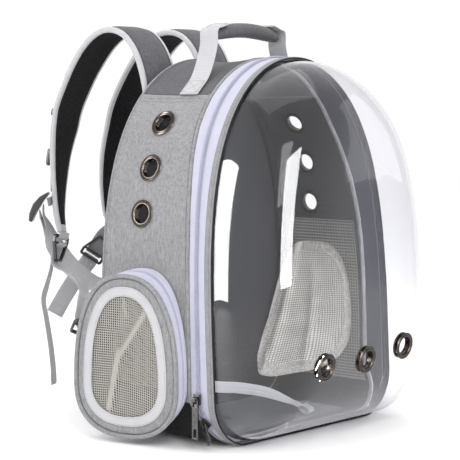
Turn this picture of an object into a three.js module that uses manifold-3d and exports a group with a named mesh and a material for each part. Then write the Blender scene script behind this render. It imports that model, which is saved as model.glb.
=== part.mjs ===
// A bubble pet carrier backpack, in millimetres, +Z up.
// The clear dome faces -Y, the wearer's back lies against the +Y side, and the origin is the
// middle of the base's resting face. Left is the wearer's left, at -X.
import * as THREE from "three";
import { mergeVertices } from "three/addons/utils/BufferGeometryUtils.js";
import Module from "manifold-3d";

const wasm = await Module();
wasm.setup();

// Body shell
const BODY_WIDTH = 306;
const BODY_HEIGHT = 400;
const BODY_DEPTH = 153;
const BOTTOM_CORNER_RADIUS = 50;
const STRAIGHT_SIDE = 25;
const ARCH_POWER_ACROSS = 2.0;
const ARCH_POWER_UP = 3.28;
const FRONT_LEAN = 0.046;
const CLOTH = 2.4;
const FIT_GAP = 0.3;
const SEAM_GAP = 0.5;
const BASE_RISE = 46;
const TOP_SEAM_HEIGHT = 361;
const TOP_SAG = 4;
const BACK_PANEL_THICKNESS = 5;
const BACK_PAD_CROWN = 3;
const PIPING_RADIUS = 2.2;

// Front opening: zipper tape, coil, rim and dome
const TAPE_WIDTH = 23;
const TAPE_INSET = 1.0;
const TAPE_THICKNESS = 1.5;
const TAPE_END_HEIGHT = 7;
const COIL_WIDTH = 4.6;
const COIL_THICKNESS = 1.6;
const COIL_END_HEIGHT = 20;
const RIM_DEPTH = 9.5;
const DOME_DEPTH = 96;
const DOME_WALL = 1.8;
const DOME_CENTRE_HEIGHT = 245;

// Vents
const GROMMET_FLANGE_RADIUS = 14.6;
const GROMMET_HOLE_RADIUS = 9.7;
const GROMMET_BARREL_RADIUS = 11.6;
const GROMMET_FLANGE_THICKNESS = 1.6;
const DOME_VENT_SPACING = 67;
const DOME_VENT_HEIGHT = 84;

// Side doors
const DOOR_HALF_WIDTH = 64;
const DOOR_CENTRE_Y = 16;
const DOOR_WIDEST_HEIGHT = 62;
const DOOR_RISE = 114;
const DOOR_DROP = 57;
const DOOR_POWER = 2.4;
const DOOR_STANDOFF = 26;
const DOOR_TILT_DEGREES = 10.6;
const DOOR_PANEL_THICKNESS = 2.4;
const DOOR_PIPING_RADIUS = 2.4;
const DOOR_GUSSET_THICKNESS = 1.6;
const DOOR_FACE_BORDER = 13;
const DOOR_BINDING_WIDTH = 10;
const DOOR_BINDING_THICKNESS = 1.2;
const DOOR_FOOT_LIFT = 19;
const DOOR_FOOT_SHIFT = -4;
const NET_THICKNESS = 1.2;
const NET_PITCH = 17;
const NET_BAR = 4.5;
const NET_RIDGE_HEIGHT = 3;
const SLEEVE_THICKNESS = 1.1;
const OPENING_BORDER = 12;

// Zip sliders and pulls
const SLIDER_LENGTH = 11;
const SLIDER_WIDTH = 8.4;
const SLIDER_THICKNESS = 2.4;
const BRIDGE_WIDTH = 3.4;
const BRIDGE_OPENING_LENGTH = 4;
const BRIDGE_OPENING_HEIGHT = 3;
const BRIDGE_METAL = 1.4;
const PULL_WIDTH = 8;
const PULL_THICKNESS = 1.7;
const PULL_BAR = 1.5;
const UPPER_PULL_LENGTH = 41;
const LOWER_PULL_LENGTH = 22;
const UPPER_SLIDER_HEIGHT = 52;
const LOWER_SLIDER_HEIGHT = 28;
const UPPER_SLIDER_TURN_DEGREES = 0;
const LOWER_SLIDER_TURN_DEGREES = 48;

// Handle
const HANDLE_Y = 6;
const HANDLE_HALF_LENGTH = 55;
const HANDLE_HEIGHT_ABOVE_TOP = 30;
const GRIP_HALF_HEIGHT = 8;
const GRIP_HALF_DEPTH = 12;
const GRIP_END_DROP = 7;
const WEBBING_WIDTH = 25;
const WEBBING_THICKNESS = 1.6;

// Shoulder straps
const PAD_CENTRE_X = 49;
const PAD_WIDTH = 56;
const PAD_THICKNESS = 9;
const STRAP_REACH = 166;
const STRAP_WEBBING_WIDTH = 20;
const RING_BASE = 30;
const RING_TIP = 13;
const RING_HEIGHT = 31;
const RING_THICKNESS = 4;
const RING_BAR = 3.2;
const RING_SLOT = 5.2;
const BUCKLE_LENGTH = 38;
const BUCKLE_WIDTH = 26;
const BUCKLE_HEIGHT = 8;
const CHEST_WEBBING_WIDTH = 22;
const TAIL_WEBBING_WIDTH = 14;
const LOAD_WEBBING_WIDTH = 17;
const LEASH_WIDTH = 12;

// Inside
const MAT_THICKNESS = 4;
const MAT_MARGIN = 14;

const SIDES = [
  { name: "left", sign: -1 },
  { name: "right", sign: 1 },
];
const HALF_WIDTH = BODY_WIDTH / 2;
const FRONT_Y = -BODY_DEPTH / 2;
const BACK_Y = BODY_DEPTH / 2;
const SIDE_TOP = BOTTOM_CORNER_RADIUS + STRAIGHT_SIDE;
const degrees = THREE.MathUtils.degToRad;
const lerp = THREE.MathUtils.lerp;
const vec = (x, y, z) => new THREE.Vector3(x, y, z);
const UP = vec(0, 0, 1);
const ACROSS = vec(1, 0, 0);
const BACKWARD = vec(0, 1, 0);

// Finishes
const finish = (color, roughness, metalness = 0) =>
  new THREE.MeshStandardMaterial({ color, roughness, metalness });
const GREY_CLOTH = finish(0x9b9b9d, 0.9);
const DARK_CLOTH = finish(0x6b6b70, 0.9);
const WHITE_TAPE = finish(0xe4e3f0, 0.75);
const WHITE_WEBBING = finish(0xe0e0e4, 0.8);
const BLACK_CLOTH = finish(0x17171a, 0.9);
const BLACK_PLASTIC = finish(0x1a1a1c, 0.4);
const DARK_METAL = finish(0x4a4038, 0.28, 1);
const CLEAR = finish(0xdcdce6, 0.05);
CLEAR.transparent = true;
CLEAR.opacity = 0.3;
const NET = finish(0xb9b4ab, 0.85);

// Linear reading of a table whose rows hold a position in one column and a value in another.
function readTable(rows, position, at, value) {
  const last = rows.length - 1;
  if (at <= rows[0][position]) return rows[0][value];
  if (at >= rows[last][position]) return rows[last][value];
  const next = rows.findIndex((row) => row[position] >= at);
  const low = rows[next - 1];
  const high = rows[next];
  const share = (at - low[position]) / (high[position] - low[position]);
  return lerp(low[value], high[value], share);
}

// Makes an indexed geometry face outwards, whichever way its triangles were listed.
function outward(geometry) {
  const bare = geometry.index ? geometry.clone() : mergeVertices(geometry);
  bare.deleteAttribute("normal");
  bare.deleteAttribute("uv");
  const merged = mergeVertices(bare, 1e-4);
  const place = merged.attributes.position;
  const index = merged.index.array;
  const a = vec();
  const b = vec();
  const c = vec();
  let volume = 0;
  for (let i = 0; i < index.length; i += 3) {
    a.fromBufferAttribute(place, index[i]);
    b.fromBufferAttribute(place, index[i + 1]);
    c.fromBufferAttribute(place, index[i + 2]);
    volume += a.dot(b.cross(c));
  }
  if (volume < 0) {
    for (let i = 0; i < index.length; i += 3) {
      [index[i + 1], index[i + 2]] = [index[i + 2], index[i + 1]];
    }
  }
  return merged;
}

// Newell's normal of a ring of points.
function ringNormal(ring) {
  const normal = vec();
  ring.forEach((p, i) => {
    const q = ring[(i + 1) % ring.length];
    normal.x += (p.y - q.y) * (p.z + q.z);
    normal.y += (p.z - q.z) * (p.x + q.x);
    normal.z += (p.x - q.x) * (p.y + q.y);
  });
  return normal.normalize();
}

function capTriangles(ring) {
  const normal = ringNormal(ring);
  const side = Math.abs(normal.x) < 0.9 ? ACROSS : BACKWARD;
  const u = vec().crossVectors(normal, side).normalize();
  const v = vec().crossVectors(normal, u);
  const flat = ring.map((p) => new THREE.Vector2(p.dot(u), p.dot(v)));
  const faces = THREE.ShapeUtils.triangulateShape(flat, []);
  const edge = vec();
  const other = vec();
  return faces.map(([a, b, c]) => {
    edge.subVectors(ring[b], ring[a]);
    other.subVectors(ring[c], ring[a]);
    return edge.cross(other).dot(normal) >= 0 ? [a, b, c] : [a, c, b];
  });
}

// A closed solid through rings of equally many points; closed joins the last ring to the first.
function loft(rings, closed = false) {
  const count = rings[0].length;
  const positions = rings.flatMap((ring) => ring.flatMap((p) => [p.x, p.y, p.z]));
  const index = [];
  const spans = closed ? rings.length : rings.length - 1;
  for (let i = 0; i < spans; i++) {
    const next = (i + 1) % rings.length;
    for (let j = 0; j < count; j++) {
      const k = (j + 1) % count;
      const a = i * count + j;
      const b = next * count + j;
      const c = next * count + k;
      const d = i * count + k;
      index.push(a, d, c, a, c, b);
    }
  }
  if (!closed) {
    const lastStart = (rings.length - 1) * count;
    for (const [a, b, c] of capTriangles(rings[0])) index.push(a, c, b);
    for (const [a, b, c] of capTriangles(rings[rings.length - 1])) {
      index.push(lastStart + a, lastStart + b, lastStart + c);
    }
  }
  const geometry = new THREE.BufferGeometry();
  geometry.setAttribute("position", new THREE.Float32BufferAttribute(positions, 3));
  geometry.setIndex(index);
  return outward(geometry);
}

function toManifold(geometry) {
  const ready = outward(geometry);
  return new wasm.Manifold(
    new wasm.Mesh({
      numProp: 3,
      vertProperties: new Float32Array(ready.attributes.position.array),
      triVerts: new Uint32Array(ready.index.array),
    }),
  );
}

function fromManifold(solid) {
  const mesh = solid.getMesh();
  const geometry = new THREE.BufferGeometry();
  geometry.setAttribute("position", new THREE.BufferAttribute(mesh.vertProperties, 3));
  geometry.setIndex(new THREE.BufferAttribute(mesh.triVerts, 1));
  return geometry;
}

function cut(geometry, cutters) {
  let solid = toManifold(geometry);
  for (const cutter of cutters) solid = solid.subtract(toManifold(cutter));
  return fromManifold(solid);
}

function join(geometries) {
  const [first, ...rest] = geometries.map(toManifold);
  return fromManifold(rest.reduce((solid, next) => solid.add(next), first));
}

const part = new THREE.Group();
function addMesh(name, geometry, material, parent = part) {
  const mesh = new THREE.Mesh(geometry, material);
  mesh.name = name;
  parent.add(mesh);
  return mesh;
}

// The body's outline seen from the front, from the top centre round the right side to the
// bottom centre. A station counts one for each STEP_LENGTH of length or STEP_TURN of turning.
const STEP_LENGTH = 70;
const STEP_TURN = degrees(12);
const ARCH_SAMPLES = 120;
const CORNER_SAMPLES = 30;

function halfOutline() {
  const points = [];
  for (let i = 0; i <= ARCH_SAMPLES; i++) {
    const angle = (Math.PI / 2) * (i / ARCH_SAMPLES);
    const rise = Math.max(Math.cos(angle), 0) ** (2 / ARCH_POWER_UP);
    points.push({
      x: HALF_WIDTH * Math.sin(angle) ** (2 / ARCH_POWER_ACROSS),
      z: SIDE_TOP + (BODY_HEIGHT - SIDE_TOP) * rise,
    });
  }
  const centreX = HALF_WIDTH - BOTTOM_CORNER_RADIUS;
  for (let i = 0; i <= CORNER_SAMPLES; i++) {
    const angle = (Math.PI / 2) * (i / CORNER_SAMPLES);
    points.push({
      x: centreX + BOTTOM_CORNER_RADIUS * Math.cos(angle),
      z: BOTTOM_CORNER_RADIUS * (1 - Math.sin(angle)),
    });
  }
  points.push({ x: 0, z: 0 });
  let heading = 0;
  let station = 0;
  points.forEach((p, i) => {
    if (i > 0) {
      const last = points[i - 1];
      const dx = p.x - last.x;
      const fall = last.z - p.z;
      const turned = Math.atan2(fall, dx);
      station += Math.hypot(dx, fall) / STEP_LENGTH;
      station += Math.abs(turned - heading) / STEP_TURN;
      heading = turned;
    }
    p.station = station;
  });
  return points;
}

const OUTLINE = halfOutline();
const LAST_STATION = OUTLINE[OUTLINE.length - 1].station;

// A point of the outline with its outward normal; a negative station lies on the left.
function outlineAt(station) {
  const turn = 2 * LAST_STATION;
  const wrapped = ((((station + LAST_STATION) % turn) + turn) % turn) - LAST_STATION;
  const size = Math.abs(wrapped);
  const read = (at, key) => readTable(OUTLINE, "station", at, key);
  const small = 0.02;
  const low = Math.max(size - small, 0);
  const high = Math.min(size + small, LAST_STATION);
  const dx = read(high, "x") - read(low, "x");
  const dz = read(high, "z") - read(low, "z");
  const length = Math.hypot(dx, dz);
  const flip = wrapped < 0 ? -1 : 1;
  const atEnd = size < small || size > LAST_STATION - small;
  return {
    x: flip * read(size, "x"),
    z: read(size, "z"),
    nx: atEnd ? 0 : (flip * -dz) / length,
    nz: atEnd ? (size < small ? 1 : -1) : dx / length,
  };
}

// The station on the right side at a height, counted up from the base.
function stationAt(height) {
  const rising = OUTLINE.slice().reverse();
  return readTable(rising, "z", height, "station");
}

function halfWidthAt(height) {
  return readTable(OUTLINE.slice().reverse(), "z", height, "x");
}

// Stations from one end to the other, on one grid so that neighbouring walls share their folds.
const GRID = LAST_STATION / Math.round(LAST_STATION);

function stationsBetween(from, to) {
  const near = GRID * 0.25;
  const inner = [];
  const rising = to > from;
  const low = rising ? from : to;
  const high = rising ? to : from;
  for (let k = Math.ceil(low / GRID); k * GRID <= high; k++) {
    const station = k * GRID;
    if (station > low + near && station < high - near) inner.push(station);
  }
  if (!rising) inner.reverse();
  return [from, ...inner, to];
}

const LOOP = stationsBetween(-LAST_STATION, LAST_STATION).slice(0, -1);

const frontAt = (height) => FRONT_Y + FRONT_LEAN * height;

// Zipper tape width by height: it narrows to nothing round the bottom corners and widens
// towards the top, where the soft wall puckers.
const TAPE_ROWS = [
  { height: 0.0, width: 0.12 },
  { height: 0.03, width: 0.26 },
  { height: 0.065, width: 0.44 },
  { height: 0.125, width: 0.98 },
  { height: 0.3, width: 0.91 },
  { height: 0.52, width: 0.9 },
  { height: 0.65, width: 1.03 },
  { height: 0.74, width: 1.21 },
  { height: 0.82, width: 1.37 },
  { height: 0.9, width: 1.4 },
  { height: 1.0, width: 1.34 },
];
const tapeWidthAt = (height) =>
  TAPE_WIDTH * readTable(TAPE_ROWS, "height", height / BODY_HEIGHT, "width");
const tapeBackAt = (height) => frontAt(height) + tapeWidthAt(height);
const coilMiddleAt = (height) => frontAt(height) + tapeWidthAt(height) / 2;
const panelFrontAt = (height) => tapeBackAt(height) + 2 * PIPING_RADIUS + 2 * FIT_GAP;
const panelBack = BACK_Y - 2 * PIPING_RADIUS - 2 * FIT_GAP;

// A wall that follows the outline. Its depth columns let the cloth sag between its edges.
function wall({ stations, front, back, inset, thickness, columns = 1, sag = () => 0, closed }) {
  const rings = stations.map((station) => {
    const p = outlineAt(station);
    const outer = [];
    const inner = [];
    for (let i = 0; i <= columns; i++) {
      const share = i / columns;
      const y = lerp(front(p.z), back(p.z), share);
      const drop = inset + sag(share, p.z);
      outer.push(vec(p.x - p.nx * drop, y, p.z - p.nz * drop));
      const deep = drop + thickness;
      inner.unshift(vec(p.x - p.nx * deep, y, p.z - p.nz * deep));
    }
    return [...outer, ...inner];
  });
  return loft(rings, closed);
}

// A round cord round the outline, its surface flush with the walls beside it.
function outlineCord(middleY, radius, sides = 5) {
  const rings = LOOP.map((station) => {
    const p = outlineAt(station);
    return Array.from({ length: sides }, (_, i) => {
      const angle = (2 * Math.PI * i) / sides;
      const out = radius * Math.cos(angle) - radius;
      return vec(p.x + p.nx * out, middleY(p.z) + radius * Math.sin(angle), p.z + p.nz * out);
    });
  });
  return loft(rings, true);
}

// Dents of the soft walls: how far a wall sinks across its depth.
const SAG_ROWS = [
  { depth: 0.0, sink: 0.0 },
  { depth: 0.25, sink: 0.7 },
  { depth: 0.5, sink: 1.0 },
  { depth: 0.75, sink: 0.8 },
  { depth: 1.0, sink: 0.0 },
];
const topSag = (depth) => TOP_SAG * readTable(SAG_ROWS, "depth", depth, "sink");
const sideSag = (depth, height) =>
  topSag(depth) * Math.max(0, (height - BODY_HEIGHT * 0.7) / (BODY_HEIGHT * 0.3)) ** 2;

// A place on the side wall: its point, the wall's outward normal and the vertical tangent.
function wallFrame(station, y, outset) {
  const p = outlineAt(station);
  const out = vec(p.nx, 0, p.nz);
  const origin = vec(p.x, y, p.z).addScaledVector(out, outset);
  return { origin, out };
}

function placed(geometry, origin, xAxis, yAxis, zAxis) {
  const matrix = new THREE.Matrix4().makeBasis(xAxis, yAxis, zAxis).setPosition(origin);
  return geometry.clone().applyMatrix4(matrix);
}

// A rod along a direction, for holes.
function rod(origin, direction, radius, length, sides = 18) {
  const geometry = new THREE.CylinderGeometry(radius, radius, length, sides);
  const turn = new THREE.Quaternion().setFromUnitVectors(BACKWARD, direction);
  return geometry.applyQuaternion(turn).translate(origin.x, origin.y, origin.z);
}

// Side vents: drop below the top seam as a share of the body's height, depth as a share of its depth.
const SIDE_VENTS = [
  { name: "top", drop: 0.0775, depth: 0.64 },
  { name: "middle", drop: 0.1945, depth: 0.63 },
  { name: "bottom", drop: 0.3125, depth: 0.645 },
];
const ventHeight = (vent) => TOP_SEAM_HEIGHT - vent.drop * BODY_HEIGHT;
const ventY = (vent) => FRONT_Y + BODY_DEPTH * vent.depth;
const ventStation = (vent) => stationAt(ventHeight(vent));

function grommet(wallThickness, slack) {
  const outer = GROMMET_FLANGE_RADIUS;
  const edge = slack;
  const top = edge + GROMMET_FLANGE_THICKNESS - 0.5;
  const low = -wallThickness - 0.8 - slack;
  const bottom = low - 1;
  const profile = [
    [GROMMET_HOLE_RADIUS, bottom],
    [outer - 0.5, bottom],
    [outer - 0.5, low],
    [GROMMET_BARREL_RADIUS, low],
    [GROMMET_BARREL_RADIUS, edge],
    [outer, edge],
    [outer - 1.6, top],
    [GROMMET_HOLE_RADIUS, top - 0.6],
    [GROMMET_HOLE_RADIUS, bottom],
  ].map(([radius, height]) => new THREE.Vector2(radius, height));
  return outward(new THREE.LatheGeometry(profile, 12));
}

function addGrommet(name, origin, normal, wallThickness, slack) {
  const mesh = addMesh(name, grommet(wallThickness, slack), DARK_METAL);
  mesh.position.copy(origin);
  mesh.quaternion.setFromUnitVectors(BACKWARD, normal);
}

// An egg outline: widest at height 0, with its own rise and drop.
function egg(halfWidth, rise, drop, count = 28) {
  return Array.from({ length: count }, (_, i) => {
    const angle = (2 * Math.PI * i) / count;
    const c = Math.cos(angle);
    const s = Math.sin(angle);
    const tall = s >= 0 ? rise : drop;
    return new THREE.Vector2(
      Math.sign(c) * halfWidth * Math.abs(c) ** (2 / DOOR_POWER),
      Math.sign(s) * tall * Math.abs(s) ** (2 / DOOR_POWER),
    );
  });
}
const doorEgg = (border, count) =>
  egg(DOOR_HALF_WIDTH - border, DOOR_RISE - border, DOOR_DROP - border, count);

// The door's own frame: u runs back, v up, w out of the wall.
const doorTilt = degrees(DOOR_TILT_DEGREES);
const DOOR_U = vec(Math.sin(doorTilt), Math.cos(doorTilt), 0);
const DOOR_W = vec(Math.cos(doorTilt), -Math.sin(doorTilt), 0);
const DOOR_ORIGIN = vec(HALF_WIDTH + DOOR_STANDOFF, DOOR_CENTRE_Y, DOOR_WIDEST_HEIGHT);
const doorPoint = (u, v, w) =>
  DOOR_ORIGIN.clone()
    .addScaledVector(DOOR_U, u)
    .addScaledVector(UP, v)
    .addScaledVector(DOOR_W, w);

// A flat ring or plate in the door's frame, from w = low to w = high.
function doorPlate(outer, inner, low, high) {
  const shape = new THREE.Shape(outer);
  if (inner) shape.holes.push(new THREE.Path(inner));
  const plate = new THREE.ExtrudeGeometry(shape, { depth: high - low, bevelEnabled: false });
  return placed(plate.translate(0, 0, low), DOOR_ORIGIN, DOOR_U, UP, DOOR_W);
}

// A point of the door's foot, on the side wall, for a point of the egg.
function footPoint(p, outset) {
  const share = p.y / (p.y >= 0 ? DOOR_RISE : DOOR_DROP);
  const height = p.y >= 0 ? p.y * 1.05 : -Math.abs(share) * (DOOR_DROP - DOOR_FOOT_LIFT);
  const z = DOOR_WIDEST_HEIGHT + height;
  return vec(halfWidthAt(z) + outset, DOOR_CENTRE_Y + DOOR_FOOT_SHIFT + p.x * 0.95, z);
}

// The zipped wall between the side wall and the door, with its two tape folds.
const GUSSET_ROWS = [
  { along: 0.0, bulge: 0.0 },
  { along: 0.35, bulge: 0.8 },
  { along: 0.5, bulge: -0.6 },
  { along: 0.65, bulge: 0.8 },
  { along: 1.0, bulge: 0.0 },
];

function tubeWall(outerEnd, outerFoot, innerEnd, innerFoot, rows) {
  const count = outerEnd.length;
  return loft(
    Array.from({ length: count }, (_, i) => {
      const outer = rows.map(({ along, bulge }) => {
        const spread = outerEnd[i].clone().sub(innerEnd[i]).normalize();
        return outerFoot[i].clone().lerp(outerEnd[i], along).addScaledVector(spread, bulge);
      });
      const inner = rows.map(({ along, bulge }) => {
        const spread = outerEnd[i].clone().sub(innerEnd[i]).normalize();
        return innerFoot[i].clone().lerp(innerEnd[i], along).addScaledVector(spread, bulge);
      });
      return [...outer, ...inner.reverse()];
    }),
    true,
  );
}

function doorGusset() {
  const low = -DOOR_PANEL_THICKNESS - DOOR_PIPING_RADIUS;
  const ends = (border) => doorEgg(border).map((p) => doorPoint(p.x, p.y, low));
  const feet = (border) => doorEgg(border).map((p) => footPoint(p, FIT_GAP));
  return tubeWall(
    ends(1),
    feet(1),
    ends(1 + DOOR_GUSSET_THICKNESS),
    feet(1 + DOOR_GUSSET_THICKNESS),
    GUSSET_ROWS,
  );
}

function doorPiping() {
  const sides = 6;
  const middle = doorEgg(DOOR_PIPING_RADIUS, 32);
  const rings = middle.map((p, i) => {
    const before = middle[(i + middle.length - 1) % middle.length];
    const after = middle[(i + 1) % middle.length];
    const out = new THREE.Vector2(after.y - before.y, before.x - after.x).normalize();
    return Array.from({ length: sides }, (_, k) => {
      const angle = (2 * Math.PI * k) / sides;
      const spread = DOOR_PIPING_RADIUS * Math.cos(angle);
      const w = -DOOR_PANEL_THICKNESS / 2 + DOOR_PIPING_RADIUS * Math.sin(angle);
      return doorPoint(p.x + out.x * spread, p.y + out.y * spread, w);
    });
  });
  return loft(rings, true);
}

// Folds of the slack net, each a ridge from one point to another, as shares of the door's
// half-width across and of its whole height up from the lowest point.
const NET_FOLDS = [
  { fromAcross: 0.28, fromUp: 0.18, toAcross: 0.08, toUp: 0.52, width: 7, height: 1.0 },
  { fromAcross: 0.1, fromUp: 0.48, toAcross: -0.4, toUp: 0.76, width: 7, height: 0.85 },
  { fromAcross: -0.06, fromUp: 0.73, toAcross: 0.04, toUp: 0.9, width: 5, height: 0.7 },
];

function netRidge(u, v) {
  const whole = DOOR_RISE + DOOR_DROP;
  let lift = 0;
  for (const fold of NET_FOLDS) {
    const from = [fold.fromAcross * DOOR_HALF_WIDTH, fold.fromUp * whole - DOOR_DROP];
    const to = [fold.toAcross * DOOR_HALF_WIDTH, fold.toUp * whole - DOOR_DROP];
    const du = to[0] - from[0];
    const dv = to[1] - from[1];
    const along = ((u - from[0]) * du + (v - from[1]) * dv) / (du * du + dv * dv);
    const near = THREE.MathUtils.clamp(along, 0, 1);
    const away = Math.hypot(u - from[0] - near * du, v - from[1] - near * dv);
    lift += fold.height * Math.exp(-((away / fold.width) ** 2));
  }
  return NET_RIDGE_HEIGHT * Math.min(lift, 1);
}

// The window's net: a thin folded sheet on rings of the egg, cut through on a square grid.
function doorNet(border, low) {
  const shares = [0.05, 0.5, 1];
  const rim = doorEgg(border + FIT_GAP, 20);
  const layer = (lift) =>
    shares.map((share) =>
      rim.map((p) => {
        const u = p.x * share;
        const v = (p.y - 20) * share + 20;
        const fade = 1 - share ** 4;
        return doorPoint(u, v, low + lift + netRidge(u, v) * fade);
      }),
    );
  const top = layer(NET_THICKNESS);
  const bottom = layer(0);
  const sheet = loft([...bottom, ...top.reverse()]);
  const holes = [];
  const tall = 12;
  const size = NET_PITCH - NET_BAR;
  const reach = doorEgg(border + NET_BAR + size * 0.55, 64);
  const columns = Math.floor(DOOR_HALF_WIDTH / NET_PITCH);
  const rowsUp = Math.ceil((DOOR_RISE + DOOR_DROP) / NET_PITCH);
  for (let i = -columns; i <= columns; i++) {
    for (let j = 0; j <= rowsUp; j++) {
      const u = i * NET_PITCH;
      const v = j * NET_PITCH - DOOR_DROP;
      if (!insidePolygon(reach, u, v)) continue;
      const box = new THREE.BoxGeometry(size, size, tall).translate(u, v, low + tall / 4);
      holes.push(placed(box, DOOR_ORIGIN, DOOR_U, UP, DOOR_W));
    }
  }
  return cut(sheet, holes);
}

function insidePolygon(polygon, x, y) {
  let inside = false;
  polygon.forEach((p, i) => {
    const q = polygon[(i + polygon.length - 1) % polygon.length];
    const crosses = p.y > y !== q.y > y;
    if (crosses && x < ((q.x - p.x) * (y - p.y)) / (q.y - p.y) + p.x) inside = !inside;
  });
  return inside;
}

// Body panels
function addBody() {
  const baseStation = stationAt(BASE_RISE);
  const seamStation = stationAt(TOP_SEAM_HEIGHT);
  const gap = SEAM_GAP / 2;
  const stationGap = (height, step) => stationAt(height + step);

  addMesh(
    "base_panel",
    wall({
      stations: stationsBetween(
        stationGap(BASE_RISE, -gap),
        2 * LAST_STATION - stationGap(BASE_RISE, -gap),
      ),
      front: panelFrontAt,
      back: () => panelBack,
      inset: 0,
      thickness: CLOTH,
    }),
    BLACK_CLOTH,
  );

  const opening = egg(
    DOOR_HALF_WIDTH - OPENING_BORDER,
    DOOR_RISE - OPENING_BORDER,
    DOOR_WIDEST_HEIGHT - BASE_RISE - 5,
    28,
  );
  for (const side of SIDES) {
    const panel = wall({
      stations: stationsBetween(
        side.sign * stationGap(TOP_SEAM_HEIGHT, -gap),
        side.sign * stationGap(BASE_RISE, gap),
      ),
      front: panelFrontAt,
      back: () => panelBack,
      inset: 0,
      thickness: CLOTH,
      columns: 4,
      sag: sideSag,
    });
    const doorHole = new THREE.ExtrudeGeometry(new THREE.Shape(opening), {
      depth: 60,
      bevelEnabled: false,
    }).translate(0, 0, -30);
    const doorCut = placed(
      doorHole,
      vec(side.sign * HALF_WIDTH, DOOR_CENTRE_Y + DOOR_FOOT_SHIFT, DOOR_WIDEST_HEIGHT),
      BACKWARD,
      UP,
      ACROSS,
    );
    const vents = SIDE_VENTS.map((vent) => {
      const { origin, out } = wallFrame(side.sign * ventStation(vent), ventY(vent), 0);
      return rod(origin, out, GROMMET_BARREL_RADIUS + FIT_GAP, 24);
    });
    addMesh(`side_panel_${side.name}`, cut(panel, [doorCut, ...vents]), GREY_CLOTH);
    for (const vent of SIDE_VENTS) {
      const sink = sideSag(vent.depth, ventHeight(vent));
      const place = wallFrame(side.sign * ventStation(vent), ventY(vent), -sink);
      addGrommet(`side_grommet_${side.name}_${vent.name}`, place.origin, place.out, CLOTH, 0.6);
    }
  }

  addMesh(
    "top_panel",
    wall({
      stations: stationsBetween(-(seamStation - 0.02), seamStation - 0.02),
      front: panelFrontAt,
      back: () => panelBack,
      inset: 0,
      thickness: CLOTH,
      columns: 4,
      sag: sideSag,
    }),
    GREY_CLOTH,
  );

  addMesh(
    "front_piping",
    outlineCord((z) => tapeBackAt(z) + PIPING_RADIUS + FIT_GAP, PIPING_RADIUS),
    GREY_CLOTH,
  );
  addMesh(
    "back_piping",
    outlineCord(() => BACK_Y - PIPING_RADIUS, PIPING_RADIUS),
    GREY_CLOTH,
  );
  addMesh("back_panel", backPanel(), DARK_CLOTH);
  return baseStation;
}

// The padded panel against the wearer's back, crowned towards its middle.
function backPanel() {
  const border = 2 * PIPING_RADIUS + FIT_GAP;
  const middle = vec(0, 0, BODY_HEIGHT * 0.48);
  const ringAt = (share, y) =>
    LOOP.map((station) => {
      const p = outlineAt(station);
      const x = p.x - p.nx * border;
      const z = p.z - p.nz * border;
      return vec(lerp(middle.x, x, share), y, lerp(middle.z, z, share));
    });
  const inner = BACK_Y - BACK_PANEL_THICKNESS;
  return loft([
    ringAt(0.05, inner),
    ringAt(1, inner),
    ringAt(1, BACK_Y - BACK_PAD_CROWN),
    ringAt(0.93, BACK_Y),
    ringAt(0.05, BACK_Y),
  ]);
}

function addFront() {
  const end = stationAt(TAPE_END_HEIGHT);
  addMesh(
    "zipper_gusset",
    wall({
      stations: stationsBetween(-end, end),
      front: (z) => frontAt(z) + FIT_GAP,
      back: (z) => tapeBackAt(z) - 2 * FIT_GAP,
      inset: TAPE_INSET,
      thickness: TAPE_THICKNESS,
    }),
    WHITE_TAPE,
  );
  const coilEnd = stationAt(COIL_END_HEIGHT);
  addMesh(
    "zipper_coil",
    wall({
      stations: stationsBetween(-coilEnd, coilEnd),
      front: (z) => coilMiddleAt(z) - COIL_WIDTH / 2,
      back: (z) => coilMiddleAt(z) + COIL_WIDTH / 2,
      inset: TAPE_INSET - FIT_GAP - COIL_THICKNESS,
      thickness: COIL_THICKNESS,
    }),
    WHITE_TAPE,
  );
  addMesh(
    "front_rim",
    wall({
      stations: LOOP,
      front: (z) => frontAt(z) - RIM_DEPTH,
      back: frontAt,
      inset: 0,
      thickness: CLOTH,
      closed: true,
    }),
    GREY_CLOTH,
  );
  addDome();
}

// Sections of the dome: depth in front of the rim's plane, and size about its middle height.
const DOME_ROWS = [
  { depth: 0.03, size: 0.981 },
  { depth: 0.12, size: 0.975 },
  { depth: 0.35, size: 0.955 },
  { depth: 0.6, size: 0.885 },
  { depth: 0.8, size: 0.785 },
  { depth: 0.92, size: 0.65 },
  { depth: 0.98, size: 0.46 },
  { depth: 1.0, size: 0.22 },
];

function domePoint(station, row) {
  const p = outlineAt(station);
  const z = DOME_CENTRE_HEIGHT + (p.z - DOME_CENTRE_HEIGHT) * row.size;
  return vec(p.x * row.size, frontAt(z) - DOME_DEPTH * row.depth, z);
}

const domeTip = () =>
  vec(0, frontAt(DOME_CENTRE_HEIGHT) - DOME_DEPTH * 1.005, DOME_CENTRE_HEIGHT);

function domeGrid() {
  return DOME_ROWS.map((row) => LOOP.map((station) => domePoint(station, row)));
}

// Outward normals of a grid of rings, from its neighbours.
function gridNormals(grid) {
  return grid.map((ring, i) =>
    ring.map((_, j) => {
      const before = ring[(j + ring.length - 1) % ring.length];
      const after = ring[(j + 1) % ring.length];
      const near = grid[Math.max(i - 1, 0)][j];
      const far = grid[Math.min(i + 1, grid.length - 1)][j];
      const normal = after.clone().sub(before).cross(far.clone().sub(near)).normalize();
      return normal;
    }),
  );
}

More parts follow.
